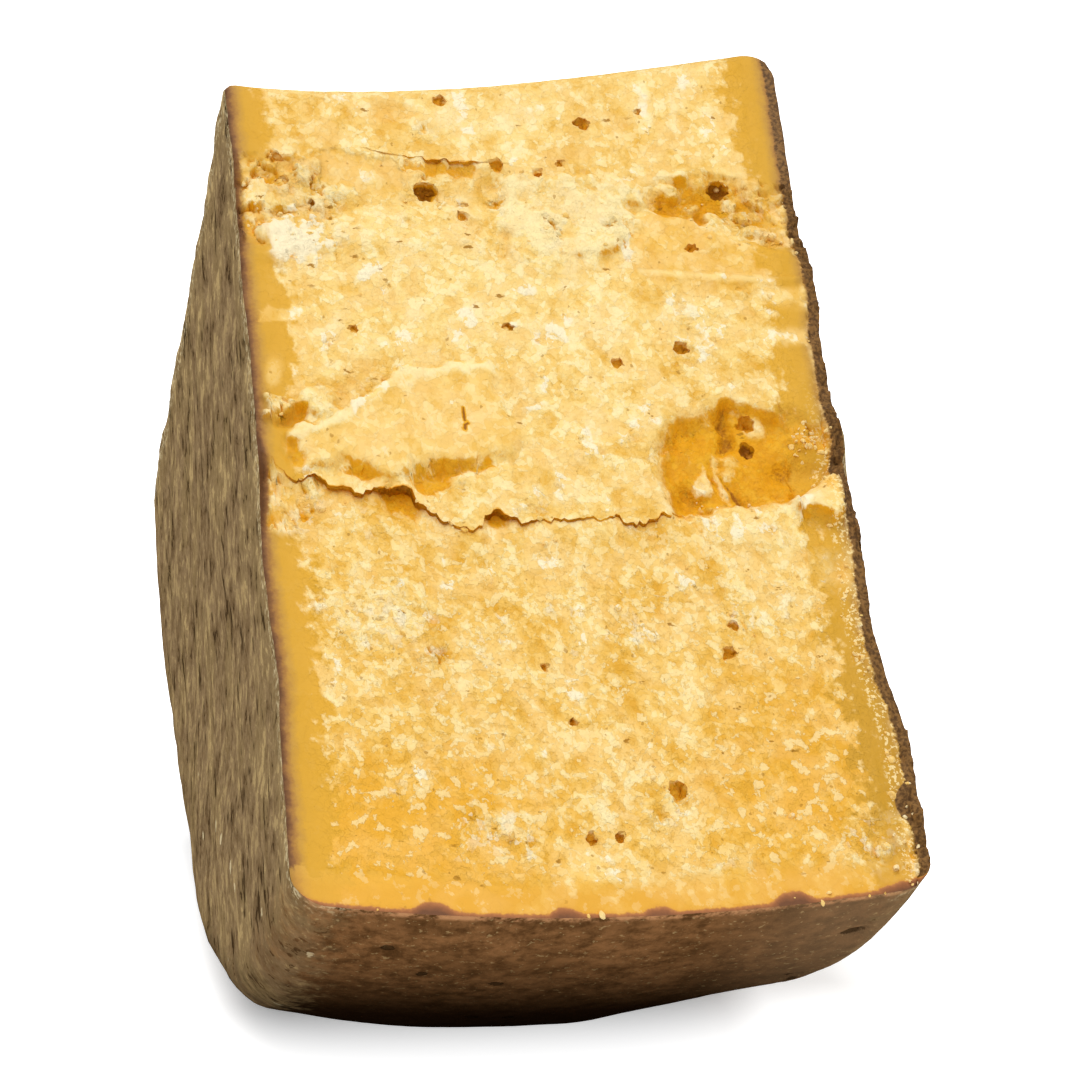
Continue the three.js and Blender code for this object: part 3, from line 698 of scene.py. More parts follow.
def cut_rows(cut, columns, band_rows):
    """The rows of points that cover a cut face from the tip to the rim, with the walls of its ledges.

    Where a ledge has no undercut, the next band runs on from it without a step.
    """
    place = np.linspace(-1, 1, columns + 1)
    across = HALF_HEIGHT * ((1 + COLUMN_CROWDING) * place - COLUMN_CROWDING * place**3)
    cover = 1 - np.abs(across / HALF_HEIGHT) ** COVER_POWER
    lines = [ledge_distance(cut, index, across) for index in range(len(cut["ledges"]))]
    unders = [np.interp(across, *np.array(ledge["undercut"], float).T) * cover for ledge in cut["ledges"]]
    steps = [ease(under, *STEP_UNDERCUT) for under in unders]
    lips = [ledge["lip"] * cover * step - LIP_GAP for ledge, step in zip(cut["ledges"], steps)]
    batches = []
    for band, count in enumerate(band_rows):
        start = tip_distance(across) + tip_rounding(HALF_ANGLE) if band == 0 else lines[band - 1] + LIP_GAP
        end = rim_distance(across) if band == len(lines) else lines[band] + lips[band]
        distance = start + (end - start) * np.linspace(0, 1, count + 1)[:, None]
        height, look = band_surface(cut, band, np.broadcast_to(across, distance.shape), distance)
        height = height + (soften(height, 1) - height) * ease(look["crumble"], 0.6, 0.3)
        if band:
            gap = distance - lines[band - 1]
            near, far = ((1 - steps[band - 1]) * (1 - ease(gap, LIP_GAP, reach)) for reach in JOIN_REACHES)
            height = height + near * rise_left + (far - near) * spread(rise_left)
            for name in LOOKS:
                look[name] = look[name] + near * look_left[name] + (far - near) * spread(look_left[name])
        batches.append((distance, height, look))
        if band == len(lines):
            continue
        foot, foot_look = band_surface(cut, band + 1, across, lines[band] + LIP_GAP)
        top, under, step = height[-1], unders[band], steps[band]
        look["litter"][-1] += LIP_LITTER * step
        rise_left = top - foot
        look_left = {name: look[name][-1] - foot_look[name] for name in LOOKS}
        drop = step * rise_left
        gape, deep = cut["ledges"][band]["gape"] * cover, np.clip(under / FULL_UNDERCUT, 0, 1)
        # Rows of each ledge's wall: place when flat, lean under the lip, how far down it falls, and how much
        # painted shade it gets under the lip.
        for flat, lean, fall, lip_shade in (
            (-0.2, lips[band] - 0.1 * cover, 0.12, 0.35),
            (-0.1, -0.4 * under, 0.55, 0.65),
            (0.0, -under, 0.85, 0.8),
            (0.1, -0.8 * under + 0.1, 1.0, 0.8),
            (0.2, -0.3 * under + 0.2, 1.0, 0.65),
        ):
            sunk = gape * deep * ease(fall, 0.6, 0.95)
            wall_look = {name: foot_look[name] + (1 - step) * look_left[name] for name in LOOKS}
            # Painted shade under the lip, more where the undercut is deep.
            wall_look["hollow"] = np.maximum(wall_look["hollow"], lip_shade * deep)
            wall_distance = lines[band] + flat * (1 - step) + lean * step
            batches.append((
                wall_distance[None],
                (top - drop * fall - sunk)[None],
                {name: values[None] for name, values in wall_look.items()},
            ))
    distance = np.concatenate([batch[0] for batch in batches])
    height = np.concatenate([batch[1] for batch in batches])
    looks = {name: np.concatenate([batch[2][name] for batch in batches]) for name in LOOKS}
    return np.broadcast_to(across, distance.shape), distance, height, looks


FRONT_COLUMNS, FRONT_ROWS = 216, (22, 50, 114, 78)
BACK_COLUMNS, BACK_ROWS = 92, (18, 24, 40, 40)
front_across, front_distance, front_height, front_looks = cut_rows(FRONT_CUT, FRONT_COLUMNS, FRONT_ROWS)
back_across, back_distance, back_height, back_looks = cut_rows(BACK_CUT, BACK_COLUMNS, BACK_ROWS)


def cut_points(across, distance, height, share):
    """Points of a cut face, raised from the knife's plane."""
    return settled(across, distance, share) + height[..., None] * outward(share)


front_points = cut_points(front_across, front_distance, front_height, 0.0)
back_points = cut_points(back_across, back_distance, back_height, 1.0)

points = []
faces = []
face_is_rind = []


def add_points(new):
    """Adds points to the chunk and returns their numbers in the same shape."""
    first = sum(len(batch) for batch in points)
    flat = np.asarray(new, float).reshape(-1, 3)
    points.append(flat)
    return np.arange(first, first + len(flat)).reshape(np.shape(new)[:-1])


def add_grid(numbers):
    """Fills a grid of point numbers with four-sided faces of paste."""
    corners = [numbers[:-1, :-1], numbers[1:, :-1], numbers[1:, 1:], numbers[:-1, 1:]]
    quads = np.stack(corners, -1).reshape(-1, 4)
    faces.extend(quads.tolist())
    face_is_rind.extend([0] * len(quads))


PLACE_SHAKE = 0.22
SHAKE_LUMPS = 7.3
EDGE_CLEARANCE = 0.55


def inner_places(outline, spacing, seed):
    """Places inside a flat outline, about evenly spaced and clear of its edge."""
    low, high = outline.min(0), outline.max(0)
    columns, rows = np.meshgrid(
        np.arange(low[0], high[0], spacing), np.arange(low[1], high[1], spacing * math.sqrt(0.75))
    )
    offset = (np.arange(rows.shape[0]) % 2)[:, None] * spacing / 2
    x = columns + offset + PLACE_SHAKE * spacing * lumps(columns * SHAKE_LUMPS, rows * SHAKE_LUMPS, seed)
    y = rows + PLACE_SHAKE * spacing * lumps(columns * SHAKE_LUMPS, rows * SHAKE_LUMPS, seed + 1)
    keep = inside_depth([tuple(p) for p in outline.tolist()], x, y) > EDGE_CLEARANCE * spacing
    return np.stack([x[keep], y[keep]], -1)


def add_patch(outline, outline_numbers, inner, inner_numbers, rind):
    """Fills a flat outline and the places inside it with triangles."""
    places = np.concatenate([outline, inner])
    numbers = np.concatenate([outline_numbers, inner_numbers])
    loop = list(range(len(outline)))
    flat = [Vector(p) for p in places.tolist()]
    _, _, triangles, origins, _, _ = delaunay_2d_cdt(flat, [], [loop], 1, 1e-7)
    for triangle in triangles:
        faces.append([int(numbers[origins[corner][0]]) for corner in triangle])
        face_is_rind.append(rind)


front_numbers = add_points(front_points)
back_numbers = add_points(back_points)
add_grid(front_numbers)
add_grid(back_numbers)

# The blunt tip, a narrow strip between the two cuts
TIP_LINES = 4
TIP_COLUMNS = 100
TIP_STRIP = 4.0
tip_share = np.linspace(0, 1, TIP_LINES + 2)[1:-1, None]
tip_columns = np.linspace(-HALF_HEIGHT, HALF_HEIGHT, TIP_COLUMNS + 1)
tip_across = np.broadcast_to(tip_columns, (TIP_LINES, TIP_COLUMNS + 1))
tip_out = tip_distance(tip_across) + tip_rounding(WEDGE_ANGLE * (tip_share - 0.5))
tip_height = (
    np.interp(tip_across[0], front_across[0], front_height[0]) * (1 - tip_share)
    + np.interp(tip_across[0], back_across[0], back_height[0]) * tip_share
)
tip_points = settled(tip_across, tip_out, tip_share * np.ones_like(tip_across))
tip_points = tip_points + tip_height[..., None] * outward(tip_share * np.ones_like(tip_across))
tip_numbers = add_points(tip_points)
tip_flat = np.stack([tip_across, TIP_STRIP * tip_share * np.ones_like(tip_across)], -1)
tip_outline = np.concatenate([
    np.stack([front_across[0], np.zeros_like(front_across[0])], -1),
    tip_flat[:, -1],
    np.stack([back_across[0], np.full_like(back_across[0], TIP_STRIP)], -1)[::-1],
    tip_flat[::-1, 0],
])
tip_outline_numbers = np.concatenate([
    front_numbers[0], tip_numbers[:, -1], back_numbers[0][::-1], tip_numbers[::-1, 0]
])
add_patch(tip_outline, tip_outline_numbers, tip_flat[:, 1:-1].reshape(-1, 2), tip_numbers[:, 1:-1].ravel(), 0)

# The rim, the curved rind that the chunk stands on. Its bumps fade out where the knife went through.
RIM_SPACING = 2.7
SIDE_SPACING = 2.9
CUT_FADE = 12.0
RIM_TURN = 26.0
RIM_EDGE_SHARE = 0.5
# Swellings and pits: place across and arc behind the front cut, half widths, and height or depth
RIM_SWELLINGS = [((-15, 112), (50, 60), 1.3), ((44, 112), (36, 70), -1.8)]
RIM_PITS = [
    ((50, 19), (5.0, 4.5), 1.6), ((45, 47), (6.0, 4.5), 1.6), ((-41, 16), (4.0, 3.5), 1.0),
    ((18, 303), (5.0, 4.5), 1.4), ((-32, 268), (5.5, 4.5), 1.4),
]


def rim_points(across, arc):
    """Points of the rim, by place across and arc behind the front cut."""
    share = arc / RIM_ARC
    found = settled(across, rim_distance(across), share)
    height = RIND_UNEVENNESS * lumps(across / RIND_LUMP, arc / RIND_LUMP, 7)
    height = height + RIND_PIMPLE_HEIGHT * rough(across / RIND_PIMPLE, arc / RIND_PIMPLE, 8, 2)
    height = height + sum(rise * oval(across, arc, at, half) for at, half, rise in RIM_SWELLINGS)
    height = height * ease(np.minimum(arc, RIM_ARC - arc), 0, CUT_FADE)
    height = height - sum(depth * oval(across, arc, at, half, slope=0.9) for at, half, depth in RIM_PITS)
    out = found - np.array([0, 0, AXIS_HEIGHT])
    out[..., 0] = 0
    return found + height[..., None] * out / np.linalg.norm(out, axis=-1, keepdims=True)


edge_arc = np.linspace(0, RIM_ARC, int(RIM_ARC / RIM_SPACING))[1:-1]
left_edge, right_edge = (np.full_like(edge_arc, side * HALF_HEIGHT) for side in (-1, 1))
left_edge_numbers = add_points(rim_points(left_edge, edge_arc))
right_edge_numbers = add_points(rim_points(right_edge, edge_arc))
rim_outline = np.concatenate([
    np.stack([front_across[-1], np.zeros_like(front_across[-1])], -1),
    np.stack([right_edge, edge_arc], -1),
    np.stack([back_across[-1], np.full_like(back_across[-1], RIM_ARC)], -1)[::-1],
    np.stack([left_edge, edge_arc], -1)[::-1],
])
rim_outline_numbers = np.concatenate([
    front_numbers[-1], right_edge_numbers, back_numbers[-1][::-1], left_edge_numbers[::-1]
])
rim_inner = inner_places(rim_outline, RIM_SPACING, 11)
rim_numbers = add_points(rim_points(rim_inner[:, 0], rim_inner[:, 1]))
add_patch(rim_outline, rim_outline_numbers, rim_inner, rim_numbers, 1)


# The two flat faces of the wheel, which lay on the shelf and have its grain pressed into the rind
def side_places(y, z, across):
    """Distance and share of flat places on a side of the wedge."""
    tip, rim = tip_distance(across), rim_distance(across)
    tip_y, tip_z = -tip * math.sin(HALF_ANGLE), AXIS_HEIGHT - tip * math.cos(HALF_ANGLE)
    reach = np.hypot(y - tip_y, z - tip_z)
    way_y, way_z = (y - tip_y) / reach, (z - tip_z) / reach
    start_y, start_z = tip_y, tip_z - AXIS_HEIGHT
    forward = start_y * way_y + start_z * way_z
    full = -forward + np.sqrt(forward**2 - start_y**2 - start_z**2 + rim**2)
    turn = np.arctan2(start_y + full * way_y, -(start_z + full * way_z))
    return tip + reach / full * (rim - tip), turn / WEDGE_ANGLE + 0.5


def flat_outline(across, distance, height, share):
    """Y and Z of an edge of a cut, on the flat side before rounding."""
    y, z = wedge_place(across, distance, share)
    way = outward(share)
    return np.stack([y + height * way[1], z + height * way[2]], -1)


def rim_share(across):
    """How much of the rim's look there is across the rim: half at its edges, all in its middle."""
    return RIM_EDGE_SHARE + (1 - RIM_EDGE_SHARE) * ease(HALF_HEIGHT - np.abs(across), 0, RIM_TURN)


edge_gap = np.minimum(edge_arc, RIM_ARC - edge_arc)
rind_notes = [
    (left_edge_numbers, np.full_like(edge_arc, RIM_EDGE_SHARE), edge_gap),
    (right_edge_numbers, np.full_like(edge_arc, RIM_EDGE_SHARE), edge_gap),
    (rim_numbers, rim_share(rim_inner[:, 0]), np.minimum(rim_inner[:, 1], RIM_ARC - rim_inner[:, 1])),
]
for side, column, edge_numbers in ((-1, 0, left_edge_numbers), (1, -1, right_edge_numbers)):
    across = side * HALF_HEIGHT
    edge_y, edge_z = wedge_place(np.full_like(edge_arc, across), rim_distance(across), edge_arc / RIM_ARC)
    tip_y, tip_z = wedge_place(tip_across[:, column], tip_out[:, column], tip_share[:, 0])
    tip_way = outward(tip_share[:, 0])
    side_outline = np.concatenate([
        flat_outline(front_across[:, column], front_distance[:, column], front_height[:, column], 0.0),
        np.stack([edge_y, edge_z], -1),
        flat_outline(back_across[:, column], back_distance[:, column], back_height[:, column], 1.0)[::-1],
        np.stack([tip_y, tip_z], -1)[::-1] + (tip_height[:, column, None] * tip_way[:, 1:])[::-1],
    ])
    side_outline_numbers = np.concatenate([
        front_numbers[:, column], edge_numbers, back_numbers[::-1, column], tip_numbers[::-1, column]
    ])
    side_inner = inner_places(side_outline, SIDE_SPACING, 13 + side)
    inner_distance, inner_share = side_places(side_inner[:, 0], side_inner[:, 1], across)
    side_points = settled(np.full_like(inner_distance, across), inner_distance, np.clip(inner_share, 0, 1))
    side_numbers = add_points(side_points)
    add_patch(side_outline, side_outline_numbers, side_inner, side_numbers, 1)
    gap = np.minimum(inner_share, 1 - inner_share) * WEDGE_ANGLE * inner_distance
    rim_near = ease(rim_distance(across) - inner_distance, RIM_TURN, 0) * RIM_EDGE_SHARE
    rind_notes.append((side_numbers, rim_near, gap))

chunk_points = np.concatenate(points)
chunk_points[:, 2] = np.maximum(chunk_points[:, 2], 0)
rim_note = np.zeros(len(chunk_points))
cut_gap = np.zeros(len(chunk_points))
for numbers, on_rim, gap in rind_notes:
    rim_note[numbers] = on_rim
    cut_gap[numbers] = gap
rim_note[front_numbers[-1]] = rim_share(front_across[-1])
rim_note[back_numbers[-1]] = rim_share(back_across[-1])
chunk_mesh = bpy.data.meshes.new("cheese")
chunk_mesh.from_pydata((chunk_points * MM).tolist(), [], faces)
chunk_mesh.polygons.foreach_set("material_index", face_is_rind)
chunk_mesh.polygons.foreach_set("use_smooth", [True] * len(faces))
shell = bmesh.new()
shell.from_mesh(chunk_mesh)
bmesh.ops.recalc_face_normals(shell, faces=shell.faces)
shell.to_mesh(chunk_mesh)
shell.free()


# What the surface is like from place to place, kept on the mesh for the finishes to read.
# side_depth and below are the depths under the rind of the flat faces and of the rim, and cut_gap is how far
# a place on the rind lies from a cut, all in millimetres. face is -1 on the front cut and 1 on the back cut.
# The others run from about 0 to 1.
RIND_SCALLOPS = [(-34.8, 4.8, 1.9), (-9.5, 4.0, 1.3), (8.1, 3.6, 1.0), (33.5, 4.8, 2.1), (56, 8, 1.2)]
RIND_INROADS = [((60, 177), (5, 5), 4.0), ((61, 97), (3, 14), 1.2), ((-61, 100), (3, 12), 0.8)]
HOLLOW_REACH = 6
EDGE_REACH = 2


def cut_notes(across, distance, height, looks):
    """The notes of one cut face."""
    notes = dict(looks)
    below = rim_distance(across) - distance
    for place, half, depth in RIND_SCALLOPS:
        below = below - depth * ease(np.abs(across - place), half, 0.25 * half)
    notes["below"] = below
    # Painted shade: places sunk below their neighbours, creases beside raised edges, and slopes that face
    # down, away from the light, get more of the amber look.
    sunk = ease(soften(height, HOLLOW_REACH) - height, 0.35, 2.2)
    proud = height - soften(height, EDGE_REACH)
    crease_shade = np.maximum(0.85 * sunk, 0.6 * ease(-proud, 0.2, 0.8))
    fall = soften(np.gradient(height, axis=0) / np.maximum(np.abs(np.gradient(distance, axis=0)), 0.1), 1)
    notes["hollow"] = np.maximum(looks["hollow"], np.maximum(crease_shade, 0.75 * ease(-fall, 0.3, 1.1)))
    # Raised edges that don't face down are paler: partly the paler broken paste, partly a painted highlight
    # where light catches them.
    notes["pale"] = looks["pale"] + 0.5 * ease(proud, 0.12, 0.6) * ease(-fall, 0.5, 0.1)
    notes["warm"] = looks["warm"] + 0.25 * ease(distance, 150, 195)
    side_depth = HALF_HEIGHT - np.abs(across)
    for at, half, depth in RIND_INROADS:
        side_depth = side_depth - depth * oval(across, distance, at, half)
    notes["side_depth"] = side_depth
    right_gap = HALF_HEIGHT - across
    right_edge = ease(right_gap, 7, 5) * ease(right_gap, 1.5, 3) * ease(distance, 85, 110)
    rim_edge = ease(rim_distance(across) - distance, 3.5, 1)
    litter = looks["litter"] + np.clip(looks["crumble"] - 0.3, 0, 1) + 2.0 * right_edge + 0.25 * rim_edge
    notes["litter"] = litter * ease(HALF_HEIGHT - np.abs(across), 1.2, 2.4)
    return notes


front_notes = cut_notes(front_across, front_distance, front_height, front_looks)
back_notes = cut_notes(back_across, back_distance, back_height, back_looks)
front_notes["face"] = np.full(front_across.shape, -1.0)
back_notes["face"] = np.full(back_across.shape, 1.0)
tip_notes = {
    "below": 190.0, "pale": 0.2, "warm": 0.3, "face": 2 * tip_share - 1,
    "side_depth": HALF_HEIGHT - np.abs(tip_across),
}
chunk_notes = {}
for name in front_notes:
    values = np.zeros(len(chunk_points))
    values[front_numbers] = front_notes[name]
    values[back_numbers] = back_notes[name]
    values[tip_numbers] = tip_notes.get(name, 0.0)
    chunk_notes[name] = values
chunk_notes["rim"] = rim_note
chunk_notes["cut_gap"] = cut_gap
sunk_rind = np.zeros(len(chunk_points))
sunk_rind[rim_numbers] = sum(oval(*rim_inner.T, at, half, slope=1.0) for at, half, _ in RIM_PITS)
chunk_notes["rim_pit"] = sunk_rind
chunk_notes["whole"] = np.ones(len(chunk_points))
for name, values in chunk_notes.items():
    chunk_mesh.attributes.new(name, "FLOAT", "POINT").data.foreach_set("value", values)


# The paste's finish: straw-yellow curd with paler flakes, creamy crumbs, and small tears and pores.
# Hollows are amber, partly the paste's own colour and partly painted shade, and brown with painted shade
# where they go deep. The strip under the rind is darker and more even, and the rind shows as a brown line.
def shade(red, green, blue):
    """A colour as seen on a screen, 0 to 255, in Blender's linear light."""
    linear = [
        value / 255 / 12.92 if value < 10.3 else ((value / 255 + 0.055) / 1.055) ** 2.4
        for value in (red, green, blue)
    ]
    return (*linear, 1.0)


class Finish:
    """The node tree of one finish. Places and sizes in it are in millimetres."""

    def __init__(self, name):
        self.material = bpy.data.materials.new(name)
        self.material.use_nodes = True
        self.tree = self.material.node_tree
        self.shader = self.tree.nodes["Principled BSDF"]
        place = self.add("ShaderNodeTexCoord").outputs["Object"]
        self.place = self.vector("SCALE", {0: place, "Scale": 1 / MM})

    def add(self, kind, sockets=None, **settings):
        made = self.tree.nodes.new(kind)
        for name, value in settings.items():
            setattr(made, name, value)
        for key, value in (sockets or {}).items():
            if isinstance(value, bpy.types.NodeSocket):
                self.tree.links.new(value, made.inputs[key])
            else:
                made.inputs[key].default_value = value
        return made

    def note(self, name):
        """What the mesh says about a place."""
        return self.add("ShaderNodeAttribute", attribute_name=name).outputs["Fac"]

    def math(self, operation, first, second=0.0, third=0.0):
        return self.add("ShaderNodeMath", {0: first, 1: second, 2: third}, operation=operation).outputs[0]

    plus = partialmethod(math, "ADD")
    minus = partialmethod(math, "SUBTRACT")
    times = partialmethod(math, "MULTIPLY")
    times_plus = partialmethod(math, "MULTIPLY_ADD")
    most = partialmethod(math, "MAXIMUM")

    def vector(self, operation, sockets):
        return self.add("ShaderNodeVectorMath", sockets, operation=operation).outputs[0]

    def joined(self, x, y, z):
        return self.add("ShaderNodeCombineXYZ", {0: x, 1: y, 2: z}).outputs[0]

    def moved(self, seed, place=None):
        """A place shifted by a seed, so that no two patterns are alike."""
        shift = (37.0 * seed, 11.0 * seed, 23.0 * seed)
        return self.vector("ADD", {0: place or self.place, 1: shift})

    def noise(self, size, seed, detail=4.0, roughness=0.55, place=None):
        sockets = {"Vector": self.moved(seed, place), "Scale": 1 / size}
        sockets.update({"Detail": detail, "Roughness": roughness})
        return self.add("ShaderNodeTexNoise", sockets).outputs["Fac"]

    def bent(self, size, seed, amount, place):
        """A place moved about by a noise, which makes ragged borders."""
        sockets = {"Vector": self.moved(seed, place), "Scale": 1 / size, "Detail": 2.0, "Roughness": 0.6}
        way = self.add("ShaderNodeTexNoise", sockets).outputs["Color"]
        way = self.vector("SUBTRACT", {0: way, 1: (0.5, 0.5, 0.5)})
        return self.vector("MULTIPLY_ADD", {0: way, 1: (amount, amount, amount), 2: place})

    def cells(self, size, seed, place=None):
        """Distance to the middle of a cell, in cells, and two chances of the cell's own."""
        found = self.add("ShaderNodeTexVoronoi", {"Vector": self.moved(seed, place), "Scale": 1 / size})
        own = self.add("ShaderNodeSeparateColor", {0: found.outputs["Color"]}).outputs
        return found.outputs["Distance"], own[0], own[1]

    def ease(self, value, low, high):
        """From 0 at low to 1 at high, level at both ends."""
        sockets = {"Value": value, "From Min": low, "From Max": high}
        return self.add("ShaderNodeMapRange", sockets, interpolation_type="SMOOTHSTEP").outputs["Result"]

    def blend(self, share, first, second):
        return self.add("ShaderNodeMix", {0: share, 6: first, 7: second}, data_type="RGBA").outputs[2]

    def tint(self, colour, shade, share, amount):
        """A colour with some of a shade in it, the given amount of it where the share is 1."""
        return self.blend(self.times(share, amount), colour, shade)

    def ramp(self, value, stops):
        """A run of colours, each stop given as a value and its colour."""
        low, high = stops[0][0], stops[-1][0]
        sockets = {"Value": value, "From Min": low, "From Max": high}
        made = self.add("ShaderNodeValToRGB", {0: self.add("ShaderNodeMapRange", sockets).outputs["Result"]})
        for index, (stop, colour) in enumerate(stops):
            place = (stop - low) / (high - low)
            element = made.color_ramp.elements[index] if index < 2 else made.color_ramp.elements.new(place)
            element.position = place
            element.color = colour
        return made.outputs["Color"]

    def set(self, **sockets):
        """Sets or links sockets of the shader, whose names have _ for a space."""
        for name, value in sockets.items():
            socket = self.shader.inputs[name.replace("_", " ")]
            if isinstance(value, bpy.types.NodeSocket):
                self.tree.links.new(value, socket)
            else:
                socket.default_value = value

    def bump(self, height):
        """Fine relief, from a height in millimetres."""
        normal = self.add("ShaderNodeBump", {"Height": height, "Strength": 1.0, "Distance": MM})
        self.tree.links.new(normal.outputs[0], self.shader.inputs["Normal"])


PASTE_TONES = [
    (-0.8, shade(224, 166, 54)),
    (-0.4, shade(235, 187, 88)),
    (0.0, shade(244, 204, 117)),
    (0.35, shade(249, 218, 140)),
    (0.8, shade(253, 233, 172)),
]
PASTE_WARM = shade(242, 176, 40)
PASTE_PEACH = shade(245, 202, 130)
PASTE_CREAM = shade(253, 232, 172)
PASTE_CHALK = shade(253, 240, 204)
PASTE_DIP = shade(222, 166, 50)
HOLLOW_AMBER = shade(228, 158, 10)
HOLLOW_LIGHT = shade(232, 170, 32)
HOLLOW_DULL = shade(206, 136, 14)
HOLLOW_DEEP_SHADE = shade(160, 98, 10)
TEAR_OLIVE = shade(166, 112, 16)
# Colours inward from the rind, by depth: brown and dry first, then translucent amber
UNDER_SIDES = [
    (0.0, shade(98, 62, 34)),
    (0.8, shade(138, 94, 52)),
    (1.5, shade(166, 118, 56)),
    (2.3, shade(192, 144, 58)),
    (3.8, shade(213, 160, 46)),
    (8.0, shade(222, 166, 46)),
]
UNDER_RIM = [
    (-1.2, shade(112, 72, 46)),
    (0.0, shade(150, 94, 56)),
    (0.55, shade(180, 116, 66)),
    (0.85, shade(214, 150, 60)),
    (1.6, shade(230, 170, 64)),
    (4.0, shade(229, 169, 62)),
    (8.0, shade(242, 188, 80)),
]
# Sizes of what gives the paste its tones
TONE_PATCH = 7.0
TONE_FLAKE = 3.0
TONE_CHIP = 1.2
TONE_FLECK = 0.8
TORN_BORDER = 1.5
CRUMB_PATCH = 2.5
LOOSE_CRUMB = 2.6
TEAR_SIZE = 2.4
TEAR_BORDER = 0.9
TEAR_BEND = 2.0
FLAKE_STRETCH = 1.15
TONE_STEP = 0.24
TONE_FLATNESS = 0.75
RIGHT_RIND = 1.1
RIGHT_STRIP = 1.5
STRIP_DULL = shade(190, 142, 42)
SKIN_DARK = shade(88, 60, 30)
SKIN_LIGHT = shade(136, 98, 52)
FACE_OFFSET = 4.0

paste = Finish("paste")
crumble, hollow, pale, warm, chalk, plain, torn_off = (
    paste.note(name) for name in ("crumble", "hollow", "pale", "warm", "chalk", "plain", "broken")
)
below, side_depth, face = (paste.note(name) for name in ("below", "side_depth", "face"))
paste_x, paste_y, paste_z = paste.add("ShaderNodeSeparateXYZ", {0: paste.place}).outputs
aside = paste.times(paste_y, face)
under_axis = paste.minus(AXIS_HEIGHT, paste_z)
cut_distance = paste.times(aside, math.sin(HALF_ANGLE))
cut_distance = paste.times_plus(under_axis, math.cos(HALF_ANGLE), cut_distance)
cut_height = paste.times(aside, math.cos(HALF_ANGLE))
cut_height = paste.times_plus(under_axis, -math.sin(HALF_ANGLE), cut_height)
cut_height = paste.times_plus(face, FACE_OFFSET, cut_height)
leaning = paste.most(paste.minus(cut_distance, LEAN_START), 0.0)
lean_x = paste.times_plus(leaning, -FLAKE_LEAN, paste_x)
flake_place = paste.joined(lean_x, paste.math("DIVIDE", cut_distance, FLAKE_STRETCH), cut_height)
patches = paste.noise(TONE_PATCH, 1, 2, 0.5, flake_place)
flakes = paste.noise(TONE_FLAKE, 2, 4, 0.58, flake_place)
flecks = paste.noise(TONE_FLECK, 3, 2, 0.6)
drift = paste.minus(patches, 0.5)
wobble = paste.minus(flakes, 0.5)
grit = paste.minus(flecks, 0.5)
torn_place = paste.bent(TORN_BORDER, 8, TORN_BORDER, flake_place)
flake_own = paste.cells(TONE_FLAKE, 9, torn_place)[1]
chip_reach, chip_own, chip_other = paste.cells(TONE_CHIP, 10, torn_place)
crumbs_near = paste.noise(CRUMB_PATCH, 14, 4, 0.56, flake_place)

# Each flake and chip of curd has a tone of its own, less so where the paste is plain
vary = paste.times_plus(plain, -0.7, 1.0)
variety = paste.times(paste.minus(flake_own, 0.5), 0.5)
variety = paste.times_plus(paste.minus(chip_own, 0.5), 0.4, variety)
variety = paste.times_plus(wobble, 1.7, paste.times_plus(grit, 0.25, variety))
variety = paste.times_plus(drift, 1.0, variety)
tone = paste.times_plus(variety, vary, pale)
flat_tone = paste.plus(paste.math("SNAP", tone, TONE_STEP), TONE_STEP / 2)
tone = paste.times_plus(paste.minus(flat_tone, tone), TONE_FLATNESS, tone)
colour = paste.ramp(tone, PASTE_TONES)
colour = paste.tint(colour, PASTE_PEACH, paste.ease(patches, 0.44, 0.62), 0.35)
colour = paste.tint(colour, PASTE_WARM, warm, 0.36)
flake_value = paste.times_plus(wobble, 1.2, paste.plus(flake_own, chip_own))
flake_edge = paste.times(paste.ease(flake_value, 1.3, 1.38), vary)
flake_share = paste.times(flake_edge, paste.ease(pale, -0.9, 0.6))
colour = paste.tint(colour, PASTE_CREAM, flake_share, 0.6)
crumbly = paste.times(vary, paste.times_plus(paste.ease(cut_distance, 95, 135), 0.7, 0.3))
speck = paste.times(paste.ease(crumbs_near, 0.57, 0.6), crumbly)
colour = paste.tint(colour, PASTE_CREAM, speck, 0.55)
dip = paste.times(paste.ease(crumbs_near, 0.42, 0.39), crumbly)
colour = paste.tint(colour, PASTE_DIP, dip, 0.4)
loose = paste.times(paste.ease(crumble, 0.3, 0.65), crumbly)
crumbs_fine = paste.noise(LOOSE_CRUMB, 21, 3, 0.5, flake_place)
white_crumb = paste.times(paste.ease(crumbs_fine, 0.54, 0.57), loose)
colour = paste.tint(colour, PASTE_CHALK, white_crumb, 0.6)
olive_gap = paste.times(paste.ease(crumbs_fine, 0.4, 0.37), loose)
colour = paste.tint(colour, PASTE_DIP, olive_gap, 0.4)
chalk_share = paste.ease(paste.times_plus(chalk, 1.2, tone), 0.72, 0.86)
chalk_share = paste.times(chalk_share, paste.ease(chalk, 0.02, 0.3))
colour = paste.tint(colour, PASTE_CHALK, chalk_share, 0.8)

# Hollows are amber, partly the paste's own colour and partly painted shade, and painted brown shade where
# they go deep
hollow_value = paste.times_plus(grit, 0.5, hollow)
amber = paste.blend(paste.ease(flake_value, 0.7, 1.5), HOLLOW_AMBER, HOLLOW_LIGHT)
hollow_edge = paste.times_plus(wobble, 1.3, hollow_value)
hollow_share = paste.times(paste.ease(hollow_value, 0.12, 0.7), 0.45)
hollow_share = paste.times_plus(paste.ease(hollow_edge, 0.24, 0.5), 0.55, hollow_share)
amber = paste.tint(amber, HOLLOW_DULL, paste.ease(crumbs_near, 0.5, 0.38), 0.4)
colour = paste.blend(hollow_share, colour, amber)
# Painted brown shade where the hollows go deep.
colour = paste.blend(paste.ease(hollow_value, 0.75, 1.15), colour, HOLLOW_DEEP_SHADE)

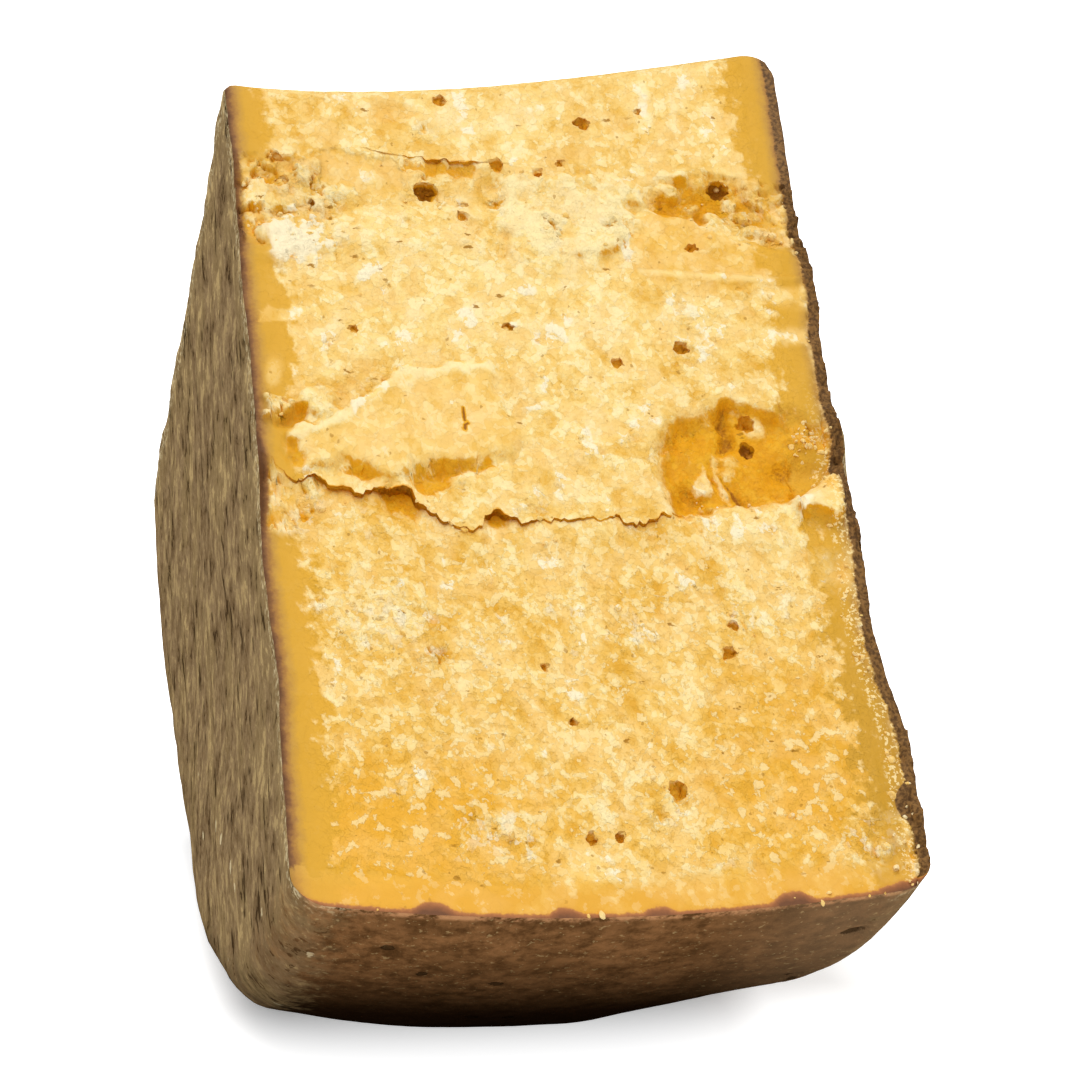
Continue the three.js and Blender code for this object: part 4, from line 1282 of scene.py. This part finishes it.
# Small tears between the flakes, and pores
tear_place = paste.joined(paste.times(lean_x, 0.5), cut_distance, cut_height)
tear_reach, tear_own = paste.cells(TEAR_SIZE, 13, paste.bent(TEAR_BORDER, 12, TEAR_BEND, tear_place))[:2]
broken = paste.most(paste.ease(patches, 0.5, 0.6), paste.ease(crumble, 0.3, 0.7))
broken = paste.times(broken, paste.times(vary, paste.ease(chalk, 0.5, 0.2)))
tear_middle = paste.ease(tear_reach, 0.22, 0.14)
tear_chance = paste.ease(paste.times_plus(crumble, 0.08, tear_own), 0.74, 0.76)
tear = paste.times(paste.times(paste.times(tear_middle, tear_chance), broken), 0.9)
pore = paste.times(paste.ease(chip_reach, 0.34, 0.22), paste.ease(chip_other, 0.03, 0.025))
tear = paste.most(tear, paste.times(pore, 0.6))
colour = paste.blend(tear, colour, TEAR_OLIVE)

# The strips under the rind
bare = paste.minus(1.0, torn_off)
ragged = paste.times_plus(wobble, 2.0, grit)
on_right = paste.ease(paste_x, -20, 20)
side_gap = paste.times_plus(on_right, -RIGHT_RIND, side_depth)
side_gap = paste.plus(side_gap, ragged)
rim_gap = paste.times_plus(ragged, 0.7, below)
far_noise = paste.times_plus(drift, 12.0, paste.times(wobble, 9.0))
far_noise = paste.times_plus(paste.minus(crumbs_near, 0.5), 10.0, far_noise)
strip_depth = paste.times_plus(on_right, -RIGHT_STRIP, paste.plus(side_depth, far_noise))
side_strip = paste.times(paste.ease(strip_depth, 10.4, 7.6), bare)
side_share = paste.most(paste.times(side_strip, 0.95), paste.ease(side_gap, 2.6, 0.8))
side_tint = paste.ramp(side_gap, UNDER_SIDES)
side_dull = paste.times(on_right, paste.ease(cut_distance, 110, 165))
side_tint = paste.tint(side_tint, STRIP_DULL, side_dull, 0.6)
colour = paste.blend(side_share, colour, side_tint)
skin = paste.blend(paste.ease(flecks, 0.36, 0.64), SKIN_DARK, SKIN_LIGHT)
skin_share = paste.times(paste.ease(side_gap, 1.5, 0.9), on_right)
colour = paste.blend(skin_share, colour, skin)
bloom = paste.times(paste.ease(side_gap, 5.5, 4.0), paste.ease(side_gap, 1.0, 1.8))
bloom = paste.times(bloom, paste.times(on_right, paste.ease(cut_distance, 70, 110)))
bloom = paste.times(bloom, paste.ease(flecks, 0.54, 0.6))
colour = paste.tint(colour, PASTE_CREAM, bloom, 0.7)
rim_strip = paste.times(paste.ease(paste.plus(below, far_noise), 7.5, 5.5), bare)
rim_strip_share = paste.most(paste.times(rim_strip, 0.42), paste.ease(rim_gap, 1.2, 0.7))
colour = paste.blend(rim_strip_share, colour, paste.ramp(rim_gap, UNDER_RIM))

# Fine relief: flecks, chips and crumbs, fading out towards the rind
tooth = paste.times_plus(crumble, 0.5, 0.15)
smooth_edge = paste.ease(paste.math("MINIMUM", side_depth, below), 3.0, 11.0)
smooth_edge = paste.times(paste.times_plus(smooth_edge, 0.75, 0.25), vary)
paste_height = paste.times_plus(flecks, tooth, paste.times(flakes, 0.7))
paste_height = paste.times_plus(chip_own, 0.2, paste_height)
paste_height = paste.times_plus(flake_own, 0.28, paste_height)
paste_height = paste.times_plus(paste.minus(speck, dip), 0.08, paste_height)
crumb_step = paste.minus(white_crumb, olive_gap)
paste_height = paste.times_plus(crumb_step, 0.06, paste_height)
paste.bump(paste.times(paste_height, smooth_edge))
paste.set(
    Base_Color=colour,
    Roughness=paste.times_plus(crumble, 0.25, 0.5),
    Specular_IOR_Level=0.15,
)


# The rind's finish: dry grey-brown skin, rubbed with oil, that took the grain of the shelf on the flat faces.
# On the rim it is smoother and browner, with a few pits, a painted glint under the cut edge, and painted dark
# shade near the foot.
RIND_GREY = shade(149, 124, 89)
RIND_BROWN = shade(123, 99, 68)
RIND_TAN = shade(190, 162, 112)
RIND_OLIVE = shade(156, 132, 88)
RIND_PIT = shade(54, 38, 20)
RIND_FLECK = shade(232, 214, 170)
BARK_SIZE = 4.4
STREAK_SIZE = 13.0
BLOTCH_SIZE = 22.0
SPECKLE_SIZE = 1.3
MOTTLE_SIZE = 4.5
CRACK_WIDTH = 2.6
CRACK_LENGTH = 4.0
PIT_SPACING = 8.0
PIT_BORDER = 2.0
PIT_BEND = 3.0
RIM_BROWN = shade(140, 98, 60)
RIM_DULL = shade(82, 54, 28)
RIM_GREY = shade(132, 108, 80)
RIM_GLINT = shade(206, 150, 104)
RIM_FOOT_SHADE = shade(20, 10, 4)

rind = Finish("rind")
on_rim = rind.note("rim")
cut_near = rind.note("cut_gap")
rind_x, rind_y, rind_z = rind.add("ShaderNodeSeparateXYZ", {0: rind.place}).outputs
bark = rind.noise(BARK_SIZE, 1, 4, 0.6)
streak = rind.noise(STREAK_SIZE, 2, 2, 0.5)
blotch = rind.noise(BLOTCH_SIZE, 3, 3)
speckle = rind.noise(SPECKLE_SIZE, 4, 2, 0.6)
grain = rind.times_plus(rind.minus(streak, 0.5), 0.5, bark)
grain = rind.times_plus(rind.minus(speckle, 0.5), 0.35, grain)
side_colour = rind.blend(rind.ease(grain, 0.36, 0.56), RIND_BROWN, RIND_GREY)
rough_share = rind.most(rind.ease(blotch, 0.48, 0.62), rind.ease(cut_near, 16, 5))
side_colour = rind.tint(side_colour, RIND_OLIVE, rough_share, 0.4)
tan_share = rind.times(rind.ease(grain, 0.57, 0.64), rind.times_plus(rough_share, 0.35, 0.6))
side_colour = rind.blend(tan_share, side_colour, RIND_TAN)

# Cracks that run from the tip to the rim, and small pits and flecks
along = rind.times(rind_y, -math.sin(HALF_ANGLE) / CRACK_LENGTH)
along = rind.times_plus(rind_z, -math.cos(HALF_ANGLE) / CRACK_LENGTH, along)
beside = rind.times(rind_y, math.cos(HALF_ANGLE))
beside = rind.times_plus(rind_z, -math.sin(HALF_ANGLE), beside)
crack_place = rind.joined(rind_x, along, beside)
crack = rind.noise(CRACK_WIDTH, 8, 3, 0.6, crack_place)
crack = rind.times_plus(rind.minus(streak, 0.5), 0.6, crack)
side_colour = rind.tint(side_colour, RIND_PIT, rind.ease(crack, 0.38, 0.31), 0.85)
side_colour = rind.tint(side_colour, RIND_TAN, rind.ease(crack, 0.62, 0.7), 0.5)
side_colour = rind.tint(side_colour, RIND_PIT, rind.ease(grain, 0.35, 0.29), 0.8)
pit_reach, pit_own = rind.cells(PIT_SPACING, 5, rind.bent(PIT_BORDER, 6, PIT_BEND, rind.place))[:2]
pit = rind.times(rind.ease(pit_reach, 0.22, 0.14), rind.ease(pit_own, 0.7, 0.74))
side_colour = rind.tint(side_colour, RIND_PIT, pit, 0.85)
fleck = rind.times(rind.ease(pit_reach, 0.2, 0.14), rind.ease(pit_own, 0.2, 0.16))
edge_line = rind.times(rind.ease(cut_near, 6.0, 2.0), rind.ease(speckle, 0.52, 0.6))
fleck = rind.most(rind.times(fleck, 0.8), rind.times(edge_line, 0.6))
side_colour = rind.blend(fleck, side_colour, RIND_FLECK)

# The rim, greyer to the right, with painted shade near the foot
rim_mottle = rind.noise(MOTTLE_SIZE, 7, 5, 0.72)
rim_colour = rind.blend(rind.ease(rim_mottle, 0.3, 0.68), RIM_DULL, RIM_BROWN)
rim_patch = rind.times(rind.ease(blotch, 0.42, 0.6), 0.35)
rim_colour = rind.blend(rim_patch, rim_colour, RIM_DULL)
rim_colour = rind.tint(rim_colour, RIM_GREY, rind.ease(rind_x, 15, 50), 0.45)
rim_colour = rind.tint(rim_colour, RIND_TAN, rind.ease(speckle, 0.62, 0.7), 0.4)
# A painted glint along the rim just under the cut edge.
rim_glint = rind.times(rind.ease(cut_near, 2.2, 0.8), rind.ease(rim_mottle, 0.4, 0.6))
rim_colour = rind.tint(rim_colour, RIM_GLINT, rim_glint, 0.75)
rim_pit = rind.times(rind.ease(pit_reach, 0.2, 0.12), rind.ease(pit_own, 0.86, 0.9))
sunk_edge = rind.times_plus(rind.minus(rim_mottle, 0.5), 1.2, rind.note("rim_pit"))
rim_pit = rind.most(rim_pit, rind.ease(sunk_edge, 0.4, 0.6))
rim_colour = rind.tint(rim_colour, RIND_PIT, rim_pit, 0.8)
# Painted shade, darkest low on the rim near the foot.
foot_shade = rind.times(rind.ease(rind_z, 60, 22), rind.ease(rind_x, 80, 20))
rim_colour = rind.tint(rim_colour, RIM_FOOT_SHADE, foot_shade, 0.97)
rim_value = rind.times_plus(rind.minus(bark, 0.5), 0.8, on_rim)
rind_colour = rind.blend(rind.ease(rim_value, 0.25, 0.75), side_colour, rim_colour)

# Fine relief: grain and cracks on the flat faces, and mottling and pits on the rim
side_height = rind.times_plus(grain, 1.8, rind.times(speckle, 0.3))
side_height = rind.times_plus(crack, 1.4, side_height)
side_height = rind.times_plus(pit, -0.8, side_height)
rim_height = rind.times_plus(rim_mottle, 0.5, rind.times(rim_pit, -0.8))
mixed_height = rind.add("ShaderNodeMix", {0: on_rim, 2: side_height, 3: rim_height}).outputs[0]
rind.bump(mixed_height)
rind.set(
    Base_Color=rind_colour,
    Roughness=rind.times_plus(grain, 0.3, 0.5),
    Specular_IOR_Level=0.0,
)

chunk_mesh.materials.append(paste.material)
chunk_mesh.materials.append(rind.material)


# Eyes: small round holes that gas left in the paste, made as one mesh of uneven balls and cut out.
# Each is given across, distance from the wheel's axis, radius, and, where it goes deep, how much painted
# shade it gets.
FRONT_EYES = [
    (-20.2, 27, 2.6, 1.05), (-3.9, 20.9, 1.75), (4.8, 23, 1.5), (16.1, 9.2, 1.8), (28.7, 6, 0.9),
    (-14.8, 3.9, 1.5), (10.1, 20.7, 1.1), (35.8, 43, 1.5), (44.7, 26.3, 2.45, 1.1), (-6.2, 63.4, 1.3),
    (30.1, 68.8, 1.7), (15.9, 72.8, 1.3), (42, 86.2, 2.0), (40.9, 92.4, 1.9, 1.2), (-38.9, 64.2, 1),
    (-44.5, 30.7, 1.1), (-51.5, 19.3, 1.5), (-50.8, 24.7, 1.5), (32.4, 135.8, 1.4), (30.5, 141.5, 1.6),
    (14.6, 172.9, 2.2), (-2.7, 182.9, 1.4), (2.7, 183.5, 1.4), (-3.4, 157.3, 1.2), (-7.5, 144.8, 1),
    (-13.1, 34.1, 1.3), (-11.9, 30.9, 1.1),
]
BACK_EYES = [
    (22, 16, 1.9), (-31, 45, 2.4), (8, 52, 1.7), (-42, 91, 2.1), (11, 88, 1.8), (-16, 160, 2),
    (34, 171, 1.8), (-8, 24, 1.2), (38, 60, 1.4), (-20, 98, 1.2), (4, 140, 1.4), (-40, 150, 1.1),
    (24, 150, 1.2), (-2, 184, 1.4),
]
EYE_SINK = 0.1
EYE_SHADE = 0.62
EYE_UNEVENNESS = 3.0
EYE_LUMP = 1.5


def eye_places(eyes, across, distance, found, share):
    """Middles of the eyes, just under a cut face."""
    places = []
    for eye_across, eye_distance, radius, *_ in eyes:
        nearest = np.argmin(np.hypot(across - eye_across, distance - eye_distance))
        places.append(found.reshape(-1, 3)[nearest] - EYE_SINK * radius * outward(share))
    return places


eye_centres = eye_places(FRONT_EYES, front_across, front_distance, front_points, 0.0)
eye_centres += eye_places(BACK_EYES, back_across, back_distance, back_points, 1.0)
eye_mesh = bpy.data.meshes.new("eyes")
eye_mesh.from_pydata([tuple(centre * MM) for centre in eye_centres], [], [])
eye_radii = [eye[2] * MM for eye in FRONT_EYES + BACK_EYES]
eye_shades = [eye[3] if len(eye) > 3 else EYE_SHADE for eye in FRONT_EYES + BACK_EYES]
eye_mesh.attributes.new("radius", "FLOAT", "POINT").data.foreach_set("value", eye_radii)
# The eye note carries each eye's painted shade.
eye_mesh.attributes.new("eye", "FLOAT", "POINT").data.foreach_set("value", eye_shades)
eyes = bpy.data.objects.new("eyes", eye_mesh)
bpy.context.scene.collection.objects.link(eyes)


def settle(piece):
    """Leaves a piece as the plain mesh that its one modifier makes of it."""
    made = bpy.data.meshes.new_from_object(piece.evaluated_get(bpy.context.evaluated_depsgraph_get()))
    piece.modifiers.clear()
    piece.data = made


class Recipe:
    """A Geometry Nodes tree with named inputs, built up node by node and run once on a piece."""

    def __init__(self, name):
        self.tree = bpy.data.node_groups.new(name, "GeometryNodeTree")
        self.tree.interface.new_socket("Geometry", in_out="INPUT", socket_type="NodeSocketGeometry")
        self.tree.interface.new_socket("Geometry", in_out="OUTPUT", socket_type="NodeSocketGeometry")
        self.start = self.tree.nodes.new("NodeGroupInput")
        self.end = self.tree.nodes.new("NodeGroupOutput")
        self.values = {}

    def input(self, name, kind, value):
        """A named input of the tree, with the value that its piece gives it."""
        socket = self.tree.interface.new_socket(name, in_out="INPUT", socket_type=kind)
        self.values[socket.identifier] = value
        return self.start.outputs[name]

    add, math, vector = Finish.add, Finish.math, Finish.vector

    def noted(self, name):
        """What the mesh says about a point."""
        return self.add("GeometryNodeInputNamedAttribute", {"Name": name}, data_type="FLOAT").outputs[0]

    def store(self, geometry, name, value):
        """Notes a value on every point."""
        sockets = {"Geometry": geometry, "Name": name, "Value": value}
        settings = {"data_type": "FLOAT", "domain": "POINT"}
        return self.add("GeometryNodeStoreNamedAttribute", sockets, **settings).outputs[0]

    def shake(self, geometry, size, amount):
        """Moves points by a noise of the given lump size."""
        scale = self.math("DIVIDE", 1.0, size)
        noise = self.add("ShaderNodeTexNoise", {"Scale": scale, "Detail": 2.0}).outputs["Color"]
        centred = self.vector("SUBTRACT", {0: noise, 1: (0.5, 0.5, 0.5)})
        offset = self.vector("SCALE", {0: centred, "Scale": amount})
        return self.add("GeometryNodeSetPosition", {"Geometry": geometry, "Offset": offset}).outputs[0]

    def ball(self, subdivisions):
        """A ball of radius 1."""
        return self.add("GeometryNodeMeshIcoSphere", {"Radius": 1.0, "Subdivisions": subdivisions}).outputs[0]

    def scatter(self, points, **sockets):
        """Puts a copy of a shape on each point, as a real mesh."""
        placed = self.add("GeometryNodeInstanceOnPoints", {"Points": points, **sockets}).outputs[0]
        return self.add("GeometryNodeRealizeInstances", {"Geometry": placed}).outputs[0]

    def run(self, piece, geometry, material):
        """Finishes the tree, runs it on the piece and leaves the piece as a plain mesh."""
        real = self.add("GeometryNodeRealizeInstances", {"Geometry": geometry}).outputs[0]
        dressed = self.add("GeometryNodeSetMaterial", {"Geometry": real, "Material": material}).outputs[0]
        self.tree.links.new(dressed, self.end.inputs[0])
        modifier = piece.modifiers.new(self.tree.name, "NODES")
        modifier.node_group = self.tree
        for identifier, value in self.values.items():
            modifier[identifier] = value
        settle(piece)


eye_recipe = Recipe("eyes")
eye_lump = eye_recipe.input("Lump size", "NodeSocketFloat", EYE_LUMP * MM)
eye_amount = eye_recipe.input("Unevenness", "NodeSocketFloat", EYE_UNEVENNESS * MM)
eye_ball = eye_recipe.ball(3)
eye_radius = eye_recipe.noted("radius")
eye_balls = eye_recipe.scatter(eye_recipe.start.outputs[0], Instance=eye_ball, Scale=eye_radius)
eye_balls = eye_recipe.shake(eye_balls, eye_lump, eye_amount)
eye_recipe.run(eyes, eye_balls, paste.material)

chunk = bpy.data.objects.new("cheese", chunk_mesh)
bpy.context.scene.collection.objects.link(chunk)
eye_cut = chunk.modifiers.new("eyes", "BOOLEAN")
eye_cut.operation = "DIFFERENCE"
eye_cut.solver = "MANIFOLD"
eye_cut.object = eyes
settle(chunk)
bpy.data.objects.remove(eyes)

# The walls of the eyes take the notes of the paste around them, and get more painted shade the deeper they
# lie
EYE_WALL = 1.2
NEIGHBOURS = 4
NEAREST_GAP = 0.05


def read_note(name):
    """A note on the chunk's mesh, with one value for each point."""
    values = np.zeros(len(chunk.data.vertices))
    chunk.data.attributes[name].data.foreach_get("value", values)
    return values


eye_shade_share = read_note("eye")
wall_numbers = np.nonzero(read_note("whole") < 0.5)[0]
cut_numbers = np.concatenate([front_numbers.ravel(), back_numbers.ravel()])
cut_tree = kdtree.KDTree(len(cut_numbers))
for number in cut_numbers.tolist():
    cut_tree.insert(chunk_points[number], number)
cut_tree.balance()
wall_points = np.array([chunk.data.vertices[number].co for number in wall_numbers.tolist()]) / MM
found = [cut_tree.find_n(point, NEIGHBOURS) for point in wall_points]
wall_nearest = np.array([[hit[1] for hit in hits] for hits in found])
wall_weights = np.array([[1 / (hit[2] + NEAREST_GAP) for hit in hits] for hits in found])
wall_weights = wall_weights / wall_weights.sum(1, keepdims=True)
sides = outward((chunk_notes["face"][wall_nearest[:, 0]] > 0).astype(float))
wall_depth = np.sum((chunk_points[wall_nearest[:, 0]] - wall_points) * sides, -1)
for name, values in chunk_notes.items():
    kept = read_note(name)
    kept[wall_numbers] = np.sum(values[wall_nearest] * wall_weights, 1)
    if name == "hollow":
        # Painted shade inside the eye, more further down its wall.
        inside = eye_shade_share[wall_numbers] * ease(wall_depth, 0.1, EYE_WALL)
        kept[wall_numbers] = np.maximum(kept[wall_numbers], inside)
    chunk.data.attributes[name].data.foreach_set("value", kept)
for name in ("eye", "whole"):
    chunk.data.attributes.remove(chunk.data.attributes[name])

SHARP_EDGE = math.radians(55)
chunk.data.set_sharp_from_angle(angle=SHARP_EDGE)
chunk.data.name = "cheese"
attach(chunk, "root")
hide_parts("cheese_chunk")


# Crumbs: bits of broken curd left on the cut faces, where the paste crumbled and under the ledges.
# They are scattered by the chunk's own notes and half sunk in its surface.
CRUMBS_PER_SQUARE_METRE = 90000.0
CRUMB_SMALL = 0.22
CRUMB_LARGE = 0.75
CRUMB_LUMP = 1.1
CRUMB_UNEVENNESS = 0.9
CRUMB_RARITY = 3.0
CRUMB_TURN = 6.28
CRUMB_NOTES = (("below", 30.0), ("side_depth", 30.0), ("hollow", 0.0), ("pale", 0.3))
crumbs = bpy.data.objects.new("crumbs", chunk.data.copy())
bpy.context.scene.collection.objects.link(crumbs)
crumb_recipe = Recipe("crumbs")
density = crumb_recipe.input("Crumbs per square metre", "NodeSocketFloat", CRUMBS_PER_SQUARE_METRE)
small = crumb_recipe.input("Smallest radius", "NodeSocketFloat", CRUMB_SMALL * MM)
large = crumb_recipe.input("Largest radius", "NodeSocketFloat", CRUMB_LARGE * MM)
crumb_lump = crumb_recipe.input("Lump size", "NodeSocketFloat", CRUMB_LUMP * MM)
crumb_amount = crumb_recipe.input("Unevenness", "NodeSocketFloat", CRUMB_UNEVENNESS * MM)
thick = crumb_recipe.math("MULTIPLY", density, crumb_recipe.noted("litter"))
spread_sockets = {"Mesh": crumb_recipe.start.outputs[0], "Density": thick, "Seed": 5}
spots = crumb_recipe.add("GeometryNodeDistributePointsOnFaces", spread_sockets).outputs[0]
draw = crumb_recipe.add("FunctionNodeRandomValue", {"Seed": 6}, data_type="FLOAT").outputs[1]
draw = crumb_recipe.math("POWER", draw, CRUMB_RARITY)
crumb_size = crumb_recipe.add("ShaderNodeMix", {0: draw, 2: small, 3: large}).outputs[0]
turn_sockets = {"Max": (CRUMB_TURN, CRUMB_TURN, CRUMB_TURN), "Seed": 7}
turn = crumb_recipe.add("FunctionNodeRandomValue", turn_sockets, data_type="FLOAT_VECTOR").outputs[0]
shape_sockets = {"Min": (0.5, 0.5, 0.5), "Max": (1.5, 1.5, 1.5), "Seed": 8}
shape = crumb_recipe.add("FunctionNodeRandomValue", shape_sockets, data_type="FLOAT_VECTOR").outputs[0]
shape = crumb_recipe.vector("SCALE", {0: shape, "Scale": crumb_size})
bits = crumb_recipe.scatter(spots, Instance=crumb_recipe.ball(2), Scale=shape, Rotation=turn)
bits = crumb_recipe.shake(bits, crumb_lump, crumb_amount)
for name, value in CRUMB_NOTES:
    bits = crumb_recipe.store(bits, name, value)
crumb_recipe.run(crumbs, bits, paste.material)
crumbs.data.name = "crumbs"
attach(crumbs, "root")


# The studio: a wide pale floor, an even white surround and one large soft light from above the front.
# The floor glows less around the foot, so that a soft shadow is left there.
FLOOR_HALF = 12.0
floor_mesh = bpy.data.meshes.new("floor")
floor_corners = [(x * FLOOR_HALF, y * FLOOR_HALF, 0) for x, y in ((-1, -1), (1, -1), (1, 1), (-1, 1))]
floor_mesh.from_pydata(floor_corners, [], [(0, 1, 2, 3)])
floor = bpy.data.objects.new("floor", floor_mesh)
bpy.context.scene.collection.objects.link(floor)
floor_finish = Finish("floor")
floor_finish.set(Base_Color=(0.97, 0.97, 0.97, 1), Roughness=0.9, Specular_IOR_Level=0.1)
FLOOR_GLOW = 1.0
FOOT_MIDDLE = (16.0, 22.0)
FOOT_HALF = (62.0, 49.0)
SHADOW_REACH = 46.0
SHADOW_START = -0.3 * SHADOW_REACH
seen_floor = floor_finish.add("ShaderNodeLightPath").outputs["Is Camera Ray"]
floor_x, floor_y, _ = floor_finish.add("ShaderNodeSeparateXYZ", {0: floor_finish.place}).outputs
beside_foot = [
    floor_finish.math("ABSOLUTE", floor_finish.minus(place, middle))
    for place, middle in zip((floor_x, floor_y), FOOT_MIDDLE)
]
beside_foot = [
    floor_finish.most(floor_finish.minus(gap, half), 0.0)
    for gap, half in zip(beside_foot, FOOT_HALF)
]
foot_gap = floor_finish.add("ShaderNodeCombineXYZ", dict(enumerate(beside_foot))).outputs[0]
foot_gap = floor_finish.add("ShaderNodeVectorMath", {0: foot_gap}, operation="LENGTH").outputs["Value"]
floor_glow = floor_finish.ease(foot_gap, SHADOW_START, SHADOW_REACH)
floor_glow = floor_finish.times(floor_glow, FLOOR_GLOW)
floor_finish.set(
    Emission_Color=(1, 1, 1, 1), Emission_Strength=floor_finish.times(seen_floor, floor_glow)
)
floor_mesh.materials.append(floor_finish.material)

SURROUND = 0.6
SEEN_SURROUND = 1.1
world = bpy.data.worlds.new("surround")
world.use_nodes = True
surround = world.node_tree.nodes["Background"]
seen = world.node_tree.nodes.new("ShaderNodeLightPath").outputs["Is Camera Ray"]
level = world.node_tree.nodes.new("ShaderNodeMapRange")
level.inputs["To Min"].default_value = SURROUND
level.inputs["To Max"].default_value = SEEN_SURROUND
world.node_tree.links.new(seen, level.inputs["Value"])
world.node_tree.links.new(level.outputs[0], surround.inputs["Strength"])
surround.inputs["Color"].default_value = (1, 1, 1, 1)
bpy.context.scene.world = world

LAMP_ENERGY = 1.8
LAMP_SPREAD = math.radians(60)
LAMP_WAY = Vector((0.05, 0.1, -0.99))
lamp_data = bpy.data.lights.new("lamp", "SUN")
lamp_data.energy = LAMP_ENERGY
lamp_data.angle = LAMP_SPREAD
lamp = bpy.data.objects.new("lamp", lamp_data)
lamp.rotation_euler = LAMP_WAY.to_track_quat("-Z", "Y").to_euler()
bpy.context.scene.collection.objects.link(lamp)

CAMERA_PLACE = Vector((-0.15505, -0.80834, 0.31911))
CAMERA_TARGET = Vector((0.0125, 0.0, 0.0973))
CAMERA_ROLL = math.radians(2.52)
CAMERA_LENS = 126.67
SENSOR_WIDTH = 36
camera_data = bpy.data.cameras.new("camera")
camera_data.lens = CAMERA_LENS
camera_data.sensor_width = SENSOR_WIDTH
camera = bpy.data.objects.new("camera", camera_data)
forward = (CAMERA_TARGET - CAMERA_PLACE).normalized()
level_right = forward.cross(Vector((0, 0, 1))).normalized()
level_up = level_right.cross(forward)
right = math.cos(CAMERA_ROLL) * level_right + math.sin(CAMERA_ROLL) * level_up
up = math.cos(CAMERA_ROLL) * level_up - math.sin(CAMERA_ROLL) * level_right
camera.matrix_world = Matrix.Translation(CAMERA_PLACE) @ Matrix((right, up, -forward)).transposed().to_4x4()
bpy.context.scene.collection.objects.link(camera)
bpy.context.scene.camera = camera
bpy.context.scene.view_settings.view_transform = "Standard"
